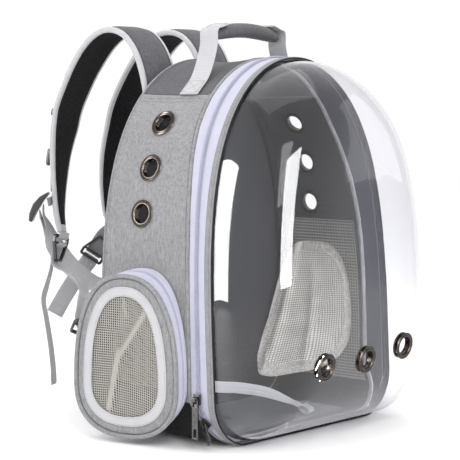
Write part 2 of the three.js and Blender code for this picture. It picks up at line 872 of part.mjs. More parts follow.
// The dome's outer point and normal above a place given by x and z.
function domeHit(x, z) {
  const grid = domeGrid();
  const normals = gridNormals(grid);
  const middle = domeTip();
  let best = { away: Infinity };
  const steps = 24;
  for (let i = 0; i < grid.length - 1; i++) {
    for (let j = 0; j < LOOP.length; j++) {
      for (let k = 0; k < steps; k++) {
        const point = grid[i][j].clone().lerp(grid[i + 1][j], k / steps);
        const away = Math.hypot(point.x - x, point.z - z);
        if (away < best.away && point.y < middle.y + DOME_DEPTH * 0.6) {
          const normal = normals[i][j].clone().lerp(normals[i + 1][j], k / steps).normalize();
          best = { away, point, normal };
        }
      }
    }
  }
  if (best.normal.y > 0) best.normal.negate();
  return best;
}

const DOME_VENTS = [
  { name: "left", across: -1, lift: 0 },
  { name: "centre", across: 0, lift: 0 },
  { name: "right", across: 1, lift: 0.02 },
];

function addDome() {
  const grid = domeGrid();
  const normals = gridNormals(grid);
  const outer = grid;
  const inner = grid.map((ring, i) =>
    ring.map((p, j) => {
      const normal = normals[i][j].clone();
      if (normal.dot(p.clone().sub(vec(0, 0, DOME_CENTRE_HEIGHT))) < 0) normal.negate();
      return p.clone().addScaledVector(normal, -DOME_WALL);
    }),
  );
  const tip = domeTip();
  const innerTip = tip.clone().add(vec(0, DOME_WALL, 0));
  const positions = [...outer, ...inner].flatMap((ring) => ring.flatMap((p) => [p.x, p.y, p.z]));
  positions.push(tip.x, tip.y, tip.z, innerTip.x, innerTip.y, innerTip.z);
  const count = LOOP.length;
  const rows = grid.length;
  const outerAt = (i, j) => i * count + (j % count);
  const innerAt = (i, j) => (rows + i) * count + (j % count);
  const tipIndex = 2 * rows * count;
  const index = [];
  for (let j = 0; j < count; j++) {
    for (let i = 0; i < rows - 1; i++) {
      index.push(outerAt(i, j), outerAt(i, j + 1), outerAt(i + 1, j + 1));
      index.push(outerAt(i, j), outerAt(i + 1, j + 1), outerAt(i + 1, j));
      index.push(innerAt(i, j), innerAt(i + 1, j + 1), innerAt(i, j + 1));
      index.push(innerAt(i, j), innerAt(i + 1, j), innerAt(i + 1, j + 1));
    }
    index.push(outerAt(rows - 1, j), outerAt(rows - 1, j + 1), tipIndex);
    index.push(innerAt(rows - 1, j), tipIndex + 1, innerAt(rows - 1, j + 1));
    index.push(outerAt(0, j), innerAt(0, j), innerAt(0, j + 1));
    index.push(outerAt(0, j), innerAt(0, j + 1), outerAt(0, j + 1));
  }
  const geometry = new THREE.BufferGeometry();
  geometry.setAttribute("position", new THREE.Float32BufferAttribute(positions, 3));
  geometry.setIndex(index);
  const hits = DOME_VENTS.map((vent) => ({
    name: vent.name,
    ...domeHit(
      vent.across * DOME_VENT_SPACING,
      DOME_VENT_HEIGHT + vent.lift * BODY_HEIGHT,
    ),
  }));
  const holes = hits.map((hit) =>
    rod(hit.point, hit.normal, GROMMET_BARREL_RADIUS + FIT_GAP, 20),
  );
  addMesh("bubble_dome", cut(outward(geometry), holes), CLEAR);
  for (const hit of hits) {
    addGrommet(`bubble_grommet_${hit.name}`, hit.point, hit.normal, DOME_WALL, 1.6);
  }
}

// Side doors, made for the right side and mirrored for the left.
function addDoors() {
  const faceBorder = 2 * DOOR_PIPING_RADIUS + FIT_GAP;
  const windowBorder = faceBorder + DOOR_FACE_BORDER;
  const bindingLow = FIT_GAP;
  const netBorder = windowBorder + FIT_GAP;
  const netLow = -NET_THICKNESS - NET_RIDGE_HEIGHT * 0.2;
  for (const side of SIDES) {
    const door = new THREE.Group();
    door.scale.x = side.sign;
    part.add(door);
    addMesh(`door_gusset_${side.name}`, doorGusset(), WHITE_TAPE, door);
    addMesh(`door_piping_${side.name}`, doorPiping(), GREY_CLOTH, door);
    addMesh(
      `door_panel_${side.name}`,
      outward(
        doorPlate(doorEgg(faceBorder), doorEgg(windowBorder), -DOOR_PANEL_THICKNESS, 0),
      ),
      GREY_CLOTH,
      door,
    );
    addMesh(
      `door_binding_${side.name}`,
      outward(
        doorPlate(
          doorEgg(windowBorder - DOOR_BINDING_WIDTH / 2),
          doorEgg(windowBorder + DOOR_BINDING_WIDTH / 2),
          bindingLow,
          bindingLow + DOOR_BINDING_THICKNESS,
        ),
      ),
      WHITE_WEBBING,
      door,
    );
    addMesh(`door_net_${side.name}`, doorNet(netBorder, netLow), NET, door);
    addMesh(`net_sleeve_${side.name}`, netSleeve(windowBorder), NET, door);
  }
}

// The gathered net between the wall's opening and the door's window.
const SLEEVE_ROWS = [
  { along: 0.0, bulge: 0.0 },
  { along: 0.5, bulge: 1.5 },
  { along: 1.0, bulge: 0.0 },
];

function netSleeve(windowBorder) {
  const low = -DOOR_PANEL_THICKNESS - FIT_GAP;
  const edge = OPENING_BORDER + 3 * FIT_GAP;
  const drop = DOOR_WIDEST_HEIGHT - BASE_RISE - 9;
  const opening = (border) =>
    egg(DOOR_HALF_WIDTH - border, DOOR_RISE - border, drop + OPENING_BORDER - border, 28).map(
      (p) => {
        const z = DOOR_WIDEST_HEIGHT + p.y;
        return vec(halfWidthAt(z) - CLOTH, DOOR_CENTRE_Y + DOOR_FOOT_SHIFT + p.x, z);
      },
    );
  const window = (border) => doorEgg(border, 28).map((p) => doorPoint(p.x, p.y, low));
  return tubeWall(
    window(windowBorder - 3),
    opening(edge),
    window(windowBorder - 3 + SLEEVE_THICKNESS),
    opening(edge + SLEEVE_THICKNESS),
    SLEEVE_ROWS,
  );
}

// Zip sliders: a plate on the coil with a bridge, and a pull whose top bar lies in the bridge.
const PIN_HEIGHT = SLIDER_THICKNESS + BRIDGE_OPENING_HEIGHT / 2;

function sliderBody() {
  const plate = new THREE.BoxGeometry(SLIDER_WIDTH, SLIDER_LENGTH, SLIDER_THICKNESS);
  plate.translate(0, 0, SLIDER_THICKNESS / 2);
  const halfLength = BRIDGE_OPENING_LENGTH / 2;
  const overlap = 0.6;
  const bridge = new THREE.Shape();
  bridge.moveTo(-halfLength - BRIDGE_METAL, -overlap);
  bridge.lineTo(-halfLength - BRIDGE_METAL, BRIDGE_OPENING_HEIGHT);
  bridge.lineTo(-halfLength, BRIDGE_OPENING_HEIGHT + BRIDGE_METAL);
  bridge.lineTo(halfLength, BRIDGE_OPENING_HEIGHT + BRIDGE_METAL);
  bridge.lineTo(halfLength + BRIDGE_METAL, BRIDGE_OPENING_HEIGHT);
  bridge.lineTo(halfLength + BRIDGE_METAL, -overlap);
  bridge.lineTo(halfLength, -overlap);
  bridge.lineTo(halfLength, BRIDGE_OPENING_HEIGHT);
  bridge.lineTo(-halfLength, BRIDGE_OPENING_HEIGHT);
  bridge.lineTo(-halfLength, -overlap);
  const arch = new THREE.ExtrudeGeometry(bridge, { depth: BRIDGE_WIDTH, bevelEnabled: false });
  arch.translate(0, 0, -BRIDGE_WIDTH / 2);
  const standing = placed(arch, vec(0, 0, SLIDER_THICKNESS), BACKWARD, UP, ACROSS);
  return join([plate, standing]);
}

function roundedBar(halfWidth, top, bottom, radius, PathType) {
  const path = new PathType();
  path.moveTo(-halfWidth, bottom + radius);
  path.lineTo(-halfWidth + radius, bottom);
  path.lineTo(halfWidth - radius, bottom);
  path.lineTo(halfWidth, bottom + radius);
  path.lineTo(halfWidth, top - radius);
  path.lineTo(halfWidth - radius, top);
  path.lineTo(-halfWidth + radius, top);
  path.lineTo(-halfWidth, top - radius);
  return path;
}

function pullTab(length) {
  const half = PULL_WIDTH / 2;
  const windowHalf = half - PULL_BAR;
  const tab = roundedBar(half, PULL_BAR / 2, -length, 0.6, THREE.Shape);
  tab.holes.push(roundedBar(windowHalf, -PULL_BAR / 2, -7.6, 0.4, THREE.Path));
  const slotTop = -length + 11;
  tab.holes.push(roundedBar(windowHalf - 0.6, slotTop, -length + 2.2, 0.8, THREE.Path));
  const plate = new THREE.ExtrudeGeometry(tab, { depth: PULL_THICKNESS, bevelEnabled: false });
  return outward(plate.translate(0, 0, -PULL_THICKNESS / 2));
}

const ZIP_ROWS = [
  {
    name: "upper",
    height: UPPER_SLIDER_HEIGHT,
    length: UPPER_PULL_LENGTH,
    turn: UPPER_SLIDER_TURN_DEGREES,
  },
  {
    name: "lower",
    height: LOWER_SLIDER_HEIGHT,
    length: LOWER_PULL_LENGTH,
    turn: LOWER_SLIDER_TURN_DEGREES,
  },
];

function addZips() {
  for (const zip of ZIP_ROWS) {
    const station = -stationAt(zip.height);
    const outset = COIL_THICKNESS - TAPE_INSET + 2 * FIT_GAP;
    const { origin, out } = wallFrame(station, coilMiddleAt(zip.height), outset);
    const rise = UP.clone().applyAxisAngle(out, degrees(zip.turn));
    rise.addScaledVector(out, -rise.dot(out)).normalize();
    const pin = vec().crossVectors(rise, out).normalize();
    const group = new THREE.Group();
    group.position.copy(origin);
    group.quaternion.setFromRotationMatrix(new THREE.Matrix4().makeBasis(pin, rise, out));
    part.add(group);
    addMesh(`zip_slider_${zip.name}`, sliderBody(), DARK_METAL, group);
    const pull = addMesh(`zip_pull_${zip.name}`, pullTab(zip.length), DARK_METAL, group);
    pull.position.z = PIN_HEIGHT;
    pull.rotation.x = -Math.atan2(-out.z, rise.z);
  }
}

// A strap through chosen points, flat across its own direction. Rows between the points
// share out the width and the across directions.
function strap({ points, width, thickness, across, steps, corner = 0 }) {
  const curve = new THREE.CatmullRomCurve3(points, false, "centripetal");
  const rings = [];
  for (let i = 0; i <= steps; i++) {
    const t = i / steps;
    const centre = curve.getPoint(t);
    const along = curve.getTangent(t);
    const wide = across(t);
    wide.addScaledVector(along, -wide.dot(along)).normalize();
    const normal = vec().crossVectors(along, wide);
    const half = (typeof width === "function" ? width(t) : width) / 2;
    const thick = thickness / 2;
    const section = corner
      ? [
          [-half + corner, -thick],
          [half - corner, -thick],
          [half, 0],
          [half - corner, thick],
          [-half + corner, thick],
          [-half, 0],
        ]
      : [
          [-half, -thick],
          [half, -thick],
          [half, thick],
          [-half, thick],
        ];
    rings.push(
      section.map(([a, b]) =>
        centre.clone().addScaledVector(wide, a).addScaledVector(normal, b),
      ),
    );
  }
  return loft(rings);
}

const turningAcross = (from, to, start = 0, stop = 1) => (t) =>
  from.clone().lerp(to, THREE.MathUtils.smoothstep(t, start, stop));

function addHandle() {
  const gripHeight = BODY_HEIGHT + HANDLE_HEIGHT_ABOVE_TOP;
  const rings = [];
  const steps = 10;
  for (let i = 0; i <= steps; i++) {
    const share = lerp(-1, 1, i / steps);
    const swell = 1 - 0.42 * Math.abs(share) ** 4;
    const z = gripHeight - GRIP_END_DROP * share * share;
    rings.push(
      Array.from({ length: 10 }, (_, k) => {
        const angle = (2 * Math.PI * k) / 10;
        return vec(
          share * HANDLE_HALF_LENGTH,
          HANDLE_Y + GRIP_HALF_DEPTH * swell * Math.cos(angle),
          z + GRIP_HALF_HEIGHT * swell * Math.sin(angle),
        );
      }),
    );
  }
  addMesh("handle_grip", loft(rings), DARK_CLOTH);
  const clear = WEBBING_THICKNESS / 2 + FIT_GAP;
  const onWall = (height, lift) => {
    const p = outlineAt(stationAt(height));
    const rise = lift + clear;
    return vec(p.x + p.nx * rise, HANDLE_Y, p.z + p.nz * rise);
  };
  const endX = HANDLE_HALF_LENGTH + clear;
  const endZ = gripHeight - GRIP_END_DROP;
  const overTop = (share) => {
    const swell = 1 - 0.42 * Math.abs(share) ** 4;
    const top = gripHeight - GRIP_END_DROP * share * share + GRIP_HALF_HEIGHT * swell;
    return vec(share * HANDLE_HALF_LENGTH, HANDLE_Y, top + clear + 0.4);
  };
  const points = [
    onWall(TOP_SEAM_HEIGHT - 1, -0.8),
    onWall(TOP_SEAM_HEIGHT + 8, -0.7),
    onWall(TOP_SEAM_HEIGHT + 15, 0.4),
    vec(endX + 7, HANDLE_Y, endZ - 26),
    vec(endX + 1.6, HANDLE_Y, endZ - 8),
    vec(endX + 1.6, HANDLE_Y, endZ + 2.5),
    vec(endX - 0.2, HANDLE_Y, endZ + 7),
    overTop(0.9),
    overTop(0.8),
    overTop(0.68),
  ];
  for (const side of SIDES) {
    const group = new THREE.Group();
    group.scale.x = side.sign;
    part.add(group);
    addMesh(
      `handle_webbing_${side.name}`,
      strap({
        points,
        width: WEBBING_WIDTH,
        thickness: WEBBING_THICKNESS,
        across: () => BACKWARD.clone(),
        steps: 20,
      }),
      WHITE_WEBBING,
      group,
    );
  }
}

// Rows of a shoulder pad from its root to its lower end: how far it stands behind the back
// panel, its height, its width and how far its inner edge is turned back.
const PAD_ROWS = [
  { reach: 0.0, height: 0.85, width: 1.0, yaw: 0 },
  { reach: 0.012, height: 0.9, width: 1.0, yaw: 0 },
  { reach: 0.05, height: 0.966, width: 1.0, yaw: 0 },
  { reach: 0.118, height: 1.024, width: 1.0, yaw: 0 },
  { reach: 0.221, height: 1.066, width: 1.0, yaw: 0 },
  { reach: 0.348, height: 1.08, width: 1.0, yaw: 1 },
  { reach: 0.474, height: 1.07, width: 1.0, yaw: 3 },
  { reach: 0.6, height: 1.037, width: 1.0, yaw: 5 },
  { reach: 0.715, height: 0.984, width: 1.0, yaw: 6 },
  { reach: 0.811, height: 0.925, width: 1.0, yaw: 9 },
  { reach: 0.896, height: 0.862, width: 0.98, yaw: 10 },
  { reach: 0.938, height: 0.8, width: 0.96, yaw: 13 },
  { reach: 0.98, height: 0.72, width: 0.91, yaw: 22 },
  { reach: 1.0, height: 0.63, width: 0.82, yaw: 30 },
  { reach: 0.996, height: 0.545, width: 0.68, yaw: 35 },
  { reach: 0.974, height: 0.5, width: 0.5, yaw: 37 },
];
const PAD_ROOT_Y = BACK_Y + FIT_GAP + PAD_THICKNESS / 2;
const padPoint = (row) =>
  vec(PAD_CENTRE_X, PAD_ROOT_Y + STRAP_REACH * row.reach, BODY_HEIGHT * row.height);
const yawAcross = (yaw) => vec(-Math.cos(degrees(yaw)), Math.sin(degrees(yaw)), 0);

function readPad(t, key) {
  const rows = PAD_ROWS.map((row, i) => ({ ...row, at: i / (PAD_ROWS.length - 1) }));
  return readTable(rows, "at", t, key);
}

// A triangular strap ring standing on its base: a slot for the webbing along the base and a
// tapering opening above the crossbar. V runs from the base to the tip.
function strapRing() {
  const half = RING_BASE / 2;
  const tip = RING_TIP / 2;
  const shoulder = RING_BAR + RING_SLOT;
  const halfAt = (v) => lerp(half, tip, (v - shoulder) / (RING_HEIGHT - shoulder));
  const shape = new THREE.Shape();
  shape.moveTo(-half + 2, 0);
  shape.lineTo(half - 2, 0);
  shape.lineTo(half, 2);
  shape.lineTo(half, shoulder);
  shape.lineTo(tip, RING_HEIGHT - 2);
  shape.lineTo(tip - 2, RING_HEIGHT);
  shape.lineTo(-tip + 2, RING_HEIGHT);
  shape.lineTo(-tip, RING_HEIGHT - 2);
  shape.lineTo(-half, shoulder);
  shape.lineTo(-half, 2);
  shape.holes.push(roundedBar(half - RING_BAR, shoulder, RING_BAR, 0.6, THREE.Path));
  const low = shoulder + RING_BAR * 0.8;
  const high = RING_HEIGHT - RING_BAR;
  const opening = new THREE.Path();
  opening.moveTo(-halfAt(low) + RING_BAR, low);
  opening.lineTo(halfAt(low) - RING_BAR, low);
  opening.lineTo(halfAt(high) - RING_BAR, high);
  opening.lineTo(-halfAt(high) + RING_BAR, high);
  shape.holes.push(opening);
  const plate = new THREE.ExtrudeGeometry(shape, {
    depth: RING_THICKNESS,
    bevelEnabled: false,
  });
  return outward(plate.translate(0, 0, -RING_THICKNESS / 2));
}

// A ring's own frame, and places in it by height above the base and distance off its plane.
function ringFrame(base, along, rise) {
  const v = rise.clone().normalize();
  const u = along.clone().addScaledVector(v, -along.dot(v)).normalize();
  const n = vec().crossVectors(u, v);
  const at = (up, off) => base.clone().addScaledVector(v, up).addScaledVector(n, off);
  const geometry = () => placed(strapRing(), base, u, v, n);
  return { u, v, n, at, geometry };
}

// Strap points are kept as shares: across of the half width, back of the straps' reach behind
// the back panel, up of the body's height.
const share = (across, back, up) =>
  vec(HALF_WIDTH * across, BACK_Y + STRAP_REACH * back, BODY_HEIGHT * up);
const shares = (rows) => rows.map(({ across, back, up }) => share(across, back, up));

// Where each strap ring stands and which way it faces. The left one hangs from its pad with the
// base up; the right one is turned over, with the pad's webbing behind it.
const LOCK_ROWS = {
  left: { across: 0.353, back: 0.976, up: 0.492, along: [-0.93, 0.22, -0.1], rise: [0.2, 0, -1] },
  right: { across: 0.124, back: 1.142, up: 0.405, along: [0.51, -0.67, -0.54], rise: [0.4, -0.37, 0.84] },
};
const LOAD_ROWS = {
  left: [
    { across: 0.33, back: 0.85, up: 0.37 },
    { across: 0.4, back: 0.7, up: 0.33 },
    { across: 0.52, back: 0.6, up: 0.315 },
  ],
  right: [
    { across: 0.32, back: 0.99, up: 0.42 },
    { across: 0.46, back: 0.8, up: 0.35 },
    { across: 0.56, back: 0.62, up: 0.31 },
  ],
};
const ANCHOR_RING = { across: 0.62, back: 0.46, up: 0.262 };
const ANCHOR_ROOT = { across: 0.735, back: 0.012, up: 0.16 };
const TAIL_ROWS = [
  { across: 0.052, back: 1.2, up: 0.355 },
  { across: -0.052, back: 1.238, up: 0.295 },
  { across: -0.131, back: 1.268, up: 0.243 },
];

function webbing(name, points, across, parent, options = {}) {
  addMesh(
    name,
    strap({
      points,
      width: STRAP_WEBBING_WIDTH,
      thickness: WEBBING_THICKNESS,
      across,
      steps: 14,
      ...options,
    }),
    options.material ?? WHITE_WEBBING,
    parent,
  );
}

function addStraps() {
  const lastRow = PAD_ROWS[PAD_ROWS.length - 1];
  const end = padPoint(lastRow);
  for (const side of SIDES) {
    const group = new THREE.Group();
    group.scale.x = side.sign;
    part.add(group);
    addMesh(
      `shoulder_pad_${side.name}`,
      strap({
        points: PAD_ROWS.map(padPoint),
        width: (t) => PAD_WIDTH * readPad(t, "width"),
        thickness: PAD_THICKNESS,
        across: (t) => yawAcross(readPad(t, "yaw")),
        steps: 30,
        corner: 3,
      }),
      BLACK_CLOTH,
      group,
    );
    addPadRing(side, group);
    addLowerStrap(side, group, end, yawAcross(lastRow.yaw));
  }
  addChestStrap();
}

// The wire ring stitched high on each pad's outer face, lying along the face.
const PAD_RING_WIDTH = 20;
const PAD_RING_LENGTH = 24;
const PAD_RING_WIRE = 2.6;
const PAD_RING_ROW = 8.4;

function addPadRing(side, group) {
  const curve = new THREE.CatmullRomCurve3(PAD_ROWS.map(padPoint), false, "centripetal");
  const t = PAD_RING_ROW / (PAD_ROWS.length - 1);
  const v = curve.getTangent(t).negate();
  const u = yawAcross(readPad(t, "yaw")).negate();
  u.addScaledVector(v, -u.dot(v)).normalize();
  const n = vec().crossVectors(u, v);
  if (n.y < 0) n.negate();
  const lift = PAD_THICKNESS / 2 + PAD_RING_WIRE / 2 + 0.45;
  const middle = curve.getPoint(t).addScaledVector(n, lift).addScaledVector(u, 10);
  const outer = roundedBar(PAD_RING_WIDTH / 2, PAD_RING_LENGTH / 2, -PAD_RING_LENGTH / 2, 5, THREE.Shape);
  const innerHalf = PAD_RING_WIDTH / 2 - PAD_RING_WIRE;
  const innerLong = PAD_RING_LENGTH / 2 - PAD_RING_WIRE;
  outer.holes.push(roundedBar(innerHalf, innerLong, -innerLong, 3.4, THREE.Path));
  const wire = new THREE.ExtrudeGeometry(outer, { depth: PAD_RING_WIRE, bevelEnabled: false });
  wire.translate(0, 0, -PAD_RING_WIRE / 2);
  const right = vec().crossVectors(v, n);
  addMesh(`pad_ring_${side.name}`, outward(placed(wire, middle, right, v, n)), BLACK_PLASTIC, group);
}

function addLowerStrap(side, group, end, padAcross) {
  const row = LOCK_ROWS[side.name];
  const ring = ringFrame(share(row.across, row.back, row.up), vec(...row.along), vec(...row.rise));
  addMesh(`strap_ring_${side.name}`, ring.geometry(), BLACK_PLASTIC, group);
  const off = RING_THICKNESS / 2 + WEBBING_THICKNESS / 2 + 0.7;
  const slotLow = RING_BAR + WEBBING_THICKNESS / 2 + 0.5;
  const slotHigh = RING_BAR + RING_SLOT - WEBBING_THICKNESS / 2 - 0.5;
  const crossbar = RING_BAR + RING_SLOT + RING_BAR * 0.4;
  const isLeft = side.name === "left";
  const padPath = isLeft
    ? [
        ring.at(-1.2, -off),
        ring.at(1.5, -off),
        ring.at(slotLow - 0.4, -off + 0.8),
        ring.at(slotLow + 0.3, 0),
        ring.at(slotLow - 0.4, off - 0.8),
        ring.at(1.5, off),
        ring.at(-4, off + 0.4),
      ]
    : [
        end.clone().add(vec(3.8, 8.6, 5)),
        end.clone().add(vec(1.6, 10.8, -0.5)),
        end.clone().lerp(ring.at(RING_HEIGHT + 4, -off - 1), 0.5).add(vec(0, 3.5, 0)),
        ring.at(RING_HEIGHT + 2, -off - 1),
        ring.at(RING_HEIGHT * 0.5, -off - 0.7),
        ring.at(crossbar + 1.5, -off - 0.5),
        ring.at(slotHigh + 0.7, -off + 0.6),
        ring.at(slotHigh, 0.6),
      ];
  const padSide = isLeft ? ring.u : padAcross.clone().negate();
  webbing(`pad_webbing_${side.name}`, padPath, turningAcross(padSide, ring.u), group);
  if (!isLeft) {
    const path = [
      ring.at(slotLow, 0.6),
      ring.at(slotLow - 0.6, -off + 1),
      ring.at(1.2, -off - 0.1),
      ring.at(-4, -off - 0.2),
      ...shares(TAIL_ROWS),
    ];
    webbing("webbing_tail_right", path, turningAcross(ring.u, ring.u), group);
  }
  addLoadStrap(side, group, ring, off);
}

// The load webbing from the strap ring to the anchor ring low behind the body, and the short
// webbing that holds the anchor ring to the back panel.
function addLoadStrap(side, group, ring, off) {
  const anchorBase = share(ANCHOR_RING.across, ANCHOR_RING.back, ANCHOR_RING.up);
  const root = share(ANCHOR_ROOT.across, ANCHOR_ROOT.back, ANCHOR_ROOT.up);
  const anchor = ringFrame(anchorBase, vec(0.75, 0.2, 0.35), vec(-0.1, 0.75, -0.35));
  addMesh(`anchor_ring_${side.name}`, anchor.geometry(), BLACK_PLASTIC, group);
  const openLow = RING_BAR * 1.8 + RING_SLOT + WEBBING_THICKNESS / 2 + 0.7;
  const start =
    side.name === "left"
      ? [
          ring.at(openLow - 3.4, off + 0.3),
          ring.at(openLow - 0.6, off - 0.6),
          ring.at(openLow + 0.3, 0),
          ring.at(openLow + 3, -off),
          ring.at(openLow + 12, -off - 0.8),
          ring.at(RING_HEIGHT + 3, -off),
        ]
      : [
          ring.at(openLow + 5, -off - 3.6).addScaledVector(ring.u, -8),
          ring.at(openLow + 5, -off - 3.6).addScaledVector(ring.u, 2),
          ring.at(openLow + 6, -off - 3.8).addScaledVector(ring.u, 12),
        ];
  const path = [
    ...start,
    ...shares(LOAD_ROWS[side.name]),
    anchor.at(openLow + 5, off + 3),
    anchor.at(openLow + 0.5, 0.4),
    anchor.at(openLow - 0.6, -off + 0.2),
    anchor.at(openLow - 4, -off - 0.8),
  ];
  const options = { width: LOAD_WEBBING_WIDTH, steps: 26 };
  const turned = side.name === "left" ? ring.u.clone().negate() : ring.v;
  const twist = turningAcross(turned, anchor.u, 0.45, 0.75);
  webbing(`load_webbing_${side.name}`, path, twist, group, options);
  const slotMiddle = RING_BAR + RING_SLOT / 2;
  const rootPath = [
    anchor.at(slotMiddle + 0.7, -1.2),
    anchor.at(slotMiddle + 0.4, 1.4),
    anchor.at(slotMiddle - 2, off + 0.4),
    anchor.at(-5, off + 0.4),
    anchorBase.clone().lerp(root, 0.6).add(vec(0, 0, 6)),
    root,
  ];
  webbing(`anchor_webbing_${side.name}`, rootPath, turningAcross(anchor.u, ACROSS, 0.3, 1), group);
}

// The chest strap hangs open behind the pads: a buckle near the left pad, its long webbing
// sagging to the right pad and its tail hanging down.
const BUCKLE_PLACE = { across: -0.497, back: 1.063, up: 0.5775 };
const BUCKLE_ALONG = vec(-0.344, 0.403, -0.848).normalize();
const BUCKLE_ACROSS = vec(0.76, 0.65, 0);
const CHEST_SHORT_ROWS = [
  { across: -0.356, back: 1.048, up: 0.595 },
  { across: -0.395, back: 1.027, up: 0.594 },
  { across: -0.43, back: 1.0145, up: 0.591 },
  { across: -0.449, back: 1.0175, up: 0.5895 },
];
const CHEST_LONG_ROWS = [
  { across: -0.476, back: 1.039, up: 0.576 },
  { across: -0.444, back: 1.063, up: 0.548 },
  { across: -0.391, back: 1.075, up: 0.518 },
  { across: -0.338, back: 1.087, up: 0.475 },
  { across: -0.248, back: 1.093, up: 0.434 },
  { across: -0.133, back: 1.081, up: 0.388 },
  { across: -0.023, back: 1.063, up: 0.354 },
  { across: 0.07, back: 1.051, up: 0.335 },
  { across: 0.183, back: 1.057, up: 0.333 },
  { across: 0.327, back: 1.087, up: 0.365 },
  { across: 0.399, back: 1.117, up: 0.43 },
  { across: 0.405, back: 1.117, up: 0.507 },
  { across: 0.373, back: 1.096, up: 0.57 },
];
const CHEST_TAIL_ROWS = [
  { across: -0.491, back: 1.056, up: 0.555 },
  { across: -0.413, back: 1.099, up: 0.521 },
  { across: -0.335, back: 1.142, up: 0.474 },
  { across: -0.270, back: 1.160, up: 0.436 },
  { across: -0.278, back: 1.148, up: 0.398 },
  { across: -0.400, back: 1.081, up: 0.344 },
  { across: -0.499, back: 1.021, up: 0.305 },
  { across: -0.512, back: 0.985, up: 0.263 },
  { across: -0.491, back: 0.967, up: 0.190 },
  { across: -0.480, back: 0.949, up: 0.117 },
  { across: -0.478, back: 0.943, up: 0.061 },
];

function addChestStrap() {
  const middle = share(BUCKLE_PLACE.across, BUCKLE_PLACE.back, BUCKLE_PLACE.up);
  const along = BUCKLE_ALONG;
  const across = BUCKLE_ACROSS.clone();
  across.addScaledVector(along, -across.dot(along)).normalize();
  const out = vec().crossVectors(across, along);
  const half = BUCKLE_LENGTH / 2;
  const inner = -BUCKLE_HEIGHT * 0.2;
  const outline = [
    [-half, inner - 1],
    [-half * 0.4, inner],
    [half * 0.4, inner],
    [half, inner - 1.4],
    [half, 0.5],
    [half * 0.6, BUCKLE_HEIGHT * 0.55],
    [0, BUCKLE_HEIGHT * 0.8],
    [-half * 0.6, BUCKLE_HEIGHT * 0.55],
    [-half, 0.2],
  ].map(([l, t]) => new THREE.Vector2(l, t));
  const buckle = new THREE.ExtrudeGeometry(new THREE.Shape(outline), {
    depth: BUCKLE_WIDTH,
    bevelEnabled: false,
  });
  buckle.translate(0, 0, -BUCKLE_WIDTH / 2);
  const side = vec().crossVectors(along, out);
  addMesh("chest_buckle", outward(placed(buckle, middle, along, out, side)), BLACK_PLASTIC);
  const upright = turningAcross(UP, UP);
  webbing("chest_webbing_short", shares(CHEST_SHORT_ROWS), upright, part, { width: 10, steps: 6 });
  const onPad = vec(0.85, -0.53, 0);
  const facing = vec(0.5, -0.585, 0.64);
  const longAcross = (t) =>
    t < 0.45
      ? across.clone().lerp(facing, THREE.MathUtils.smoothstep(t, 0.05, 0.4))
      : facing.clone().lerp(onPad, THREE.MathUtils.smoothstep(t, 0.5, 0.95));
  webbing("chest_webbing_long", shares(CHEST_LONG_ROWS), longAcross, part, {
    width: (t) => lerp(12, CHEST_WEBBING_WIDTH, THREE.MathUtils.smoothstep(t, 0, 0.3)),
    steps: 26,
  });
  const edgeOn = vec(0.9, 0.35, 0);
  webbing("chest_webbing_tail", shares(CHEST_TAIL_ROWS), turningAcross(across, edgeOn), part, {
    width: TAIL_WEBBING_WIDTH,
    steps: 24,
  });
}

function addInside() {
  const matFront = panelFrontAt(0) + MAT_MARGIN;
  const matBack = BACK_Y - BACK_PANEL_THICKNESS - FIT_GAP;
  const halfMat = HALF_WIDTH - BOTTOM_CORNER_RADIUS + 2;
  const low = CLOTH + FIT_GAP;
  const mat = new THREE.BoxGeometry(2 * halfMat, matBack - matFront, MAT_THICKNESS);
  mat.translate(0, (matFront + matBack) / 2, low + MAT_THICKNESS / 2);
  addMesh("floor_mat", mat, DARK_CLOTH);
  webbing("leash_strap", LEASH_ROWS.map(insidePoint), turningAcross(UP, ACROSS), part, {
    width: LEASH_WIDTH,
    steps: 16,
  });
}

// The leash inside, from low on the left wall to its folded end over the mat: across and back
// as shares of the half width and half depth, up of the height.
const LEASH_ROWS = [
  { across: -0.975, back: -0.53, up: 0.165 },
  { across: -0.8, back: -0.5, up: 0.15 },
  { across: -0.52, back: -0.38, up: 0.128 },
  { across: -0.23, back: -0.27, up: 0.108 },
  { across: 0.06, back: -0.28, up: 0.08 },
  { across: 0.22, back: -0.42, up: 0.052 },
  { across: 0.25, back: -0.62, up: 0.036 },
];
const insidePoint = ({ across, back, up }) =>
  vec(HALF_WIDTH * across, BACK_Y * back, BODY_HEIGHT * up);


addBody();
addFront();
addDoors();
addZips();
addHandle();
addStraps();
addInside();

export default part;
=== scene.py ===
"""The dressed look of a bubble pet carrier backpack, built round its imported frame."""

import math
from itertools import combinations

import bmesh
import bpy
import numpy as np
from bpy.props import FloatProperty, FloatVectorProperty, PointerProperty
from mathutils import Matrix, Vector, noise


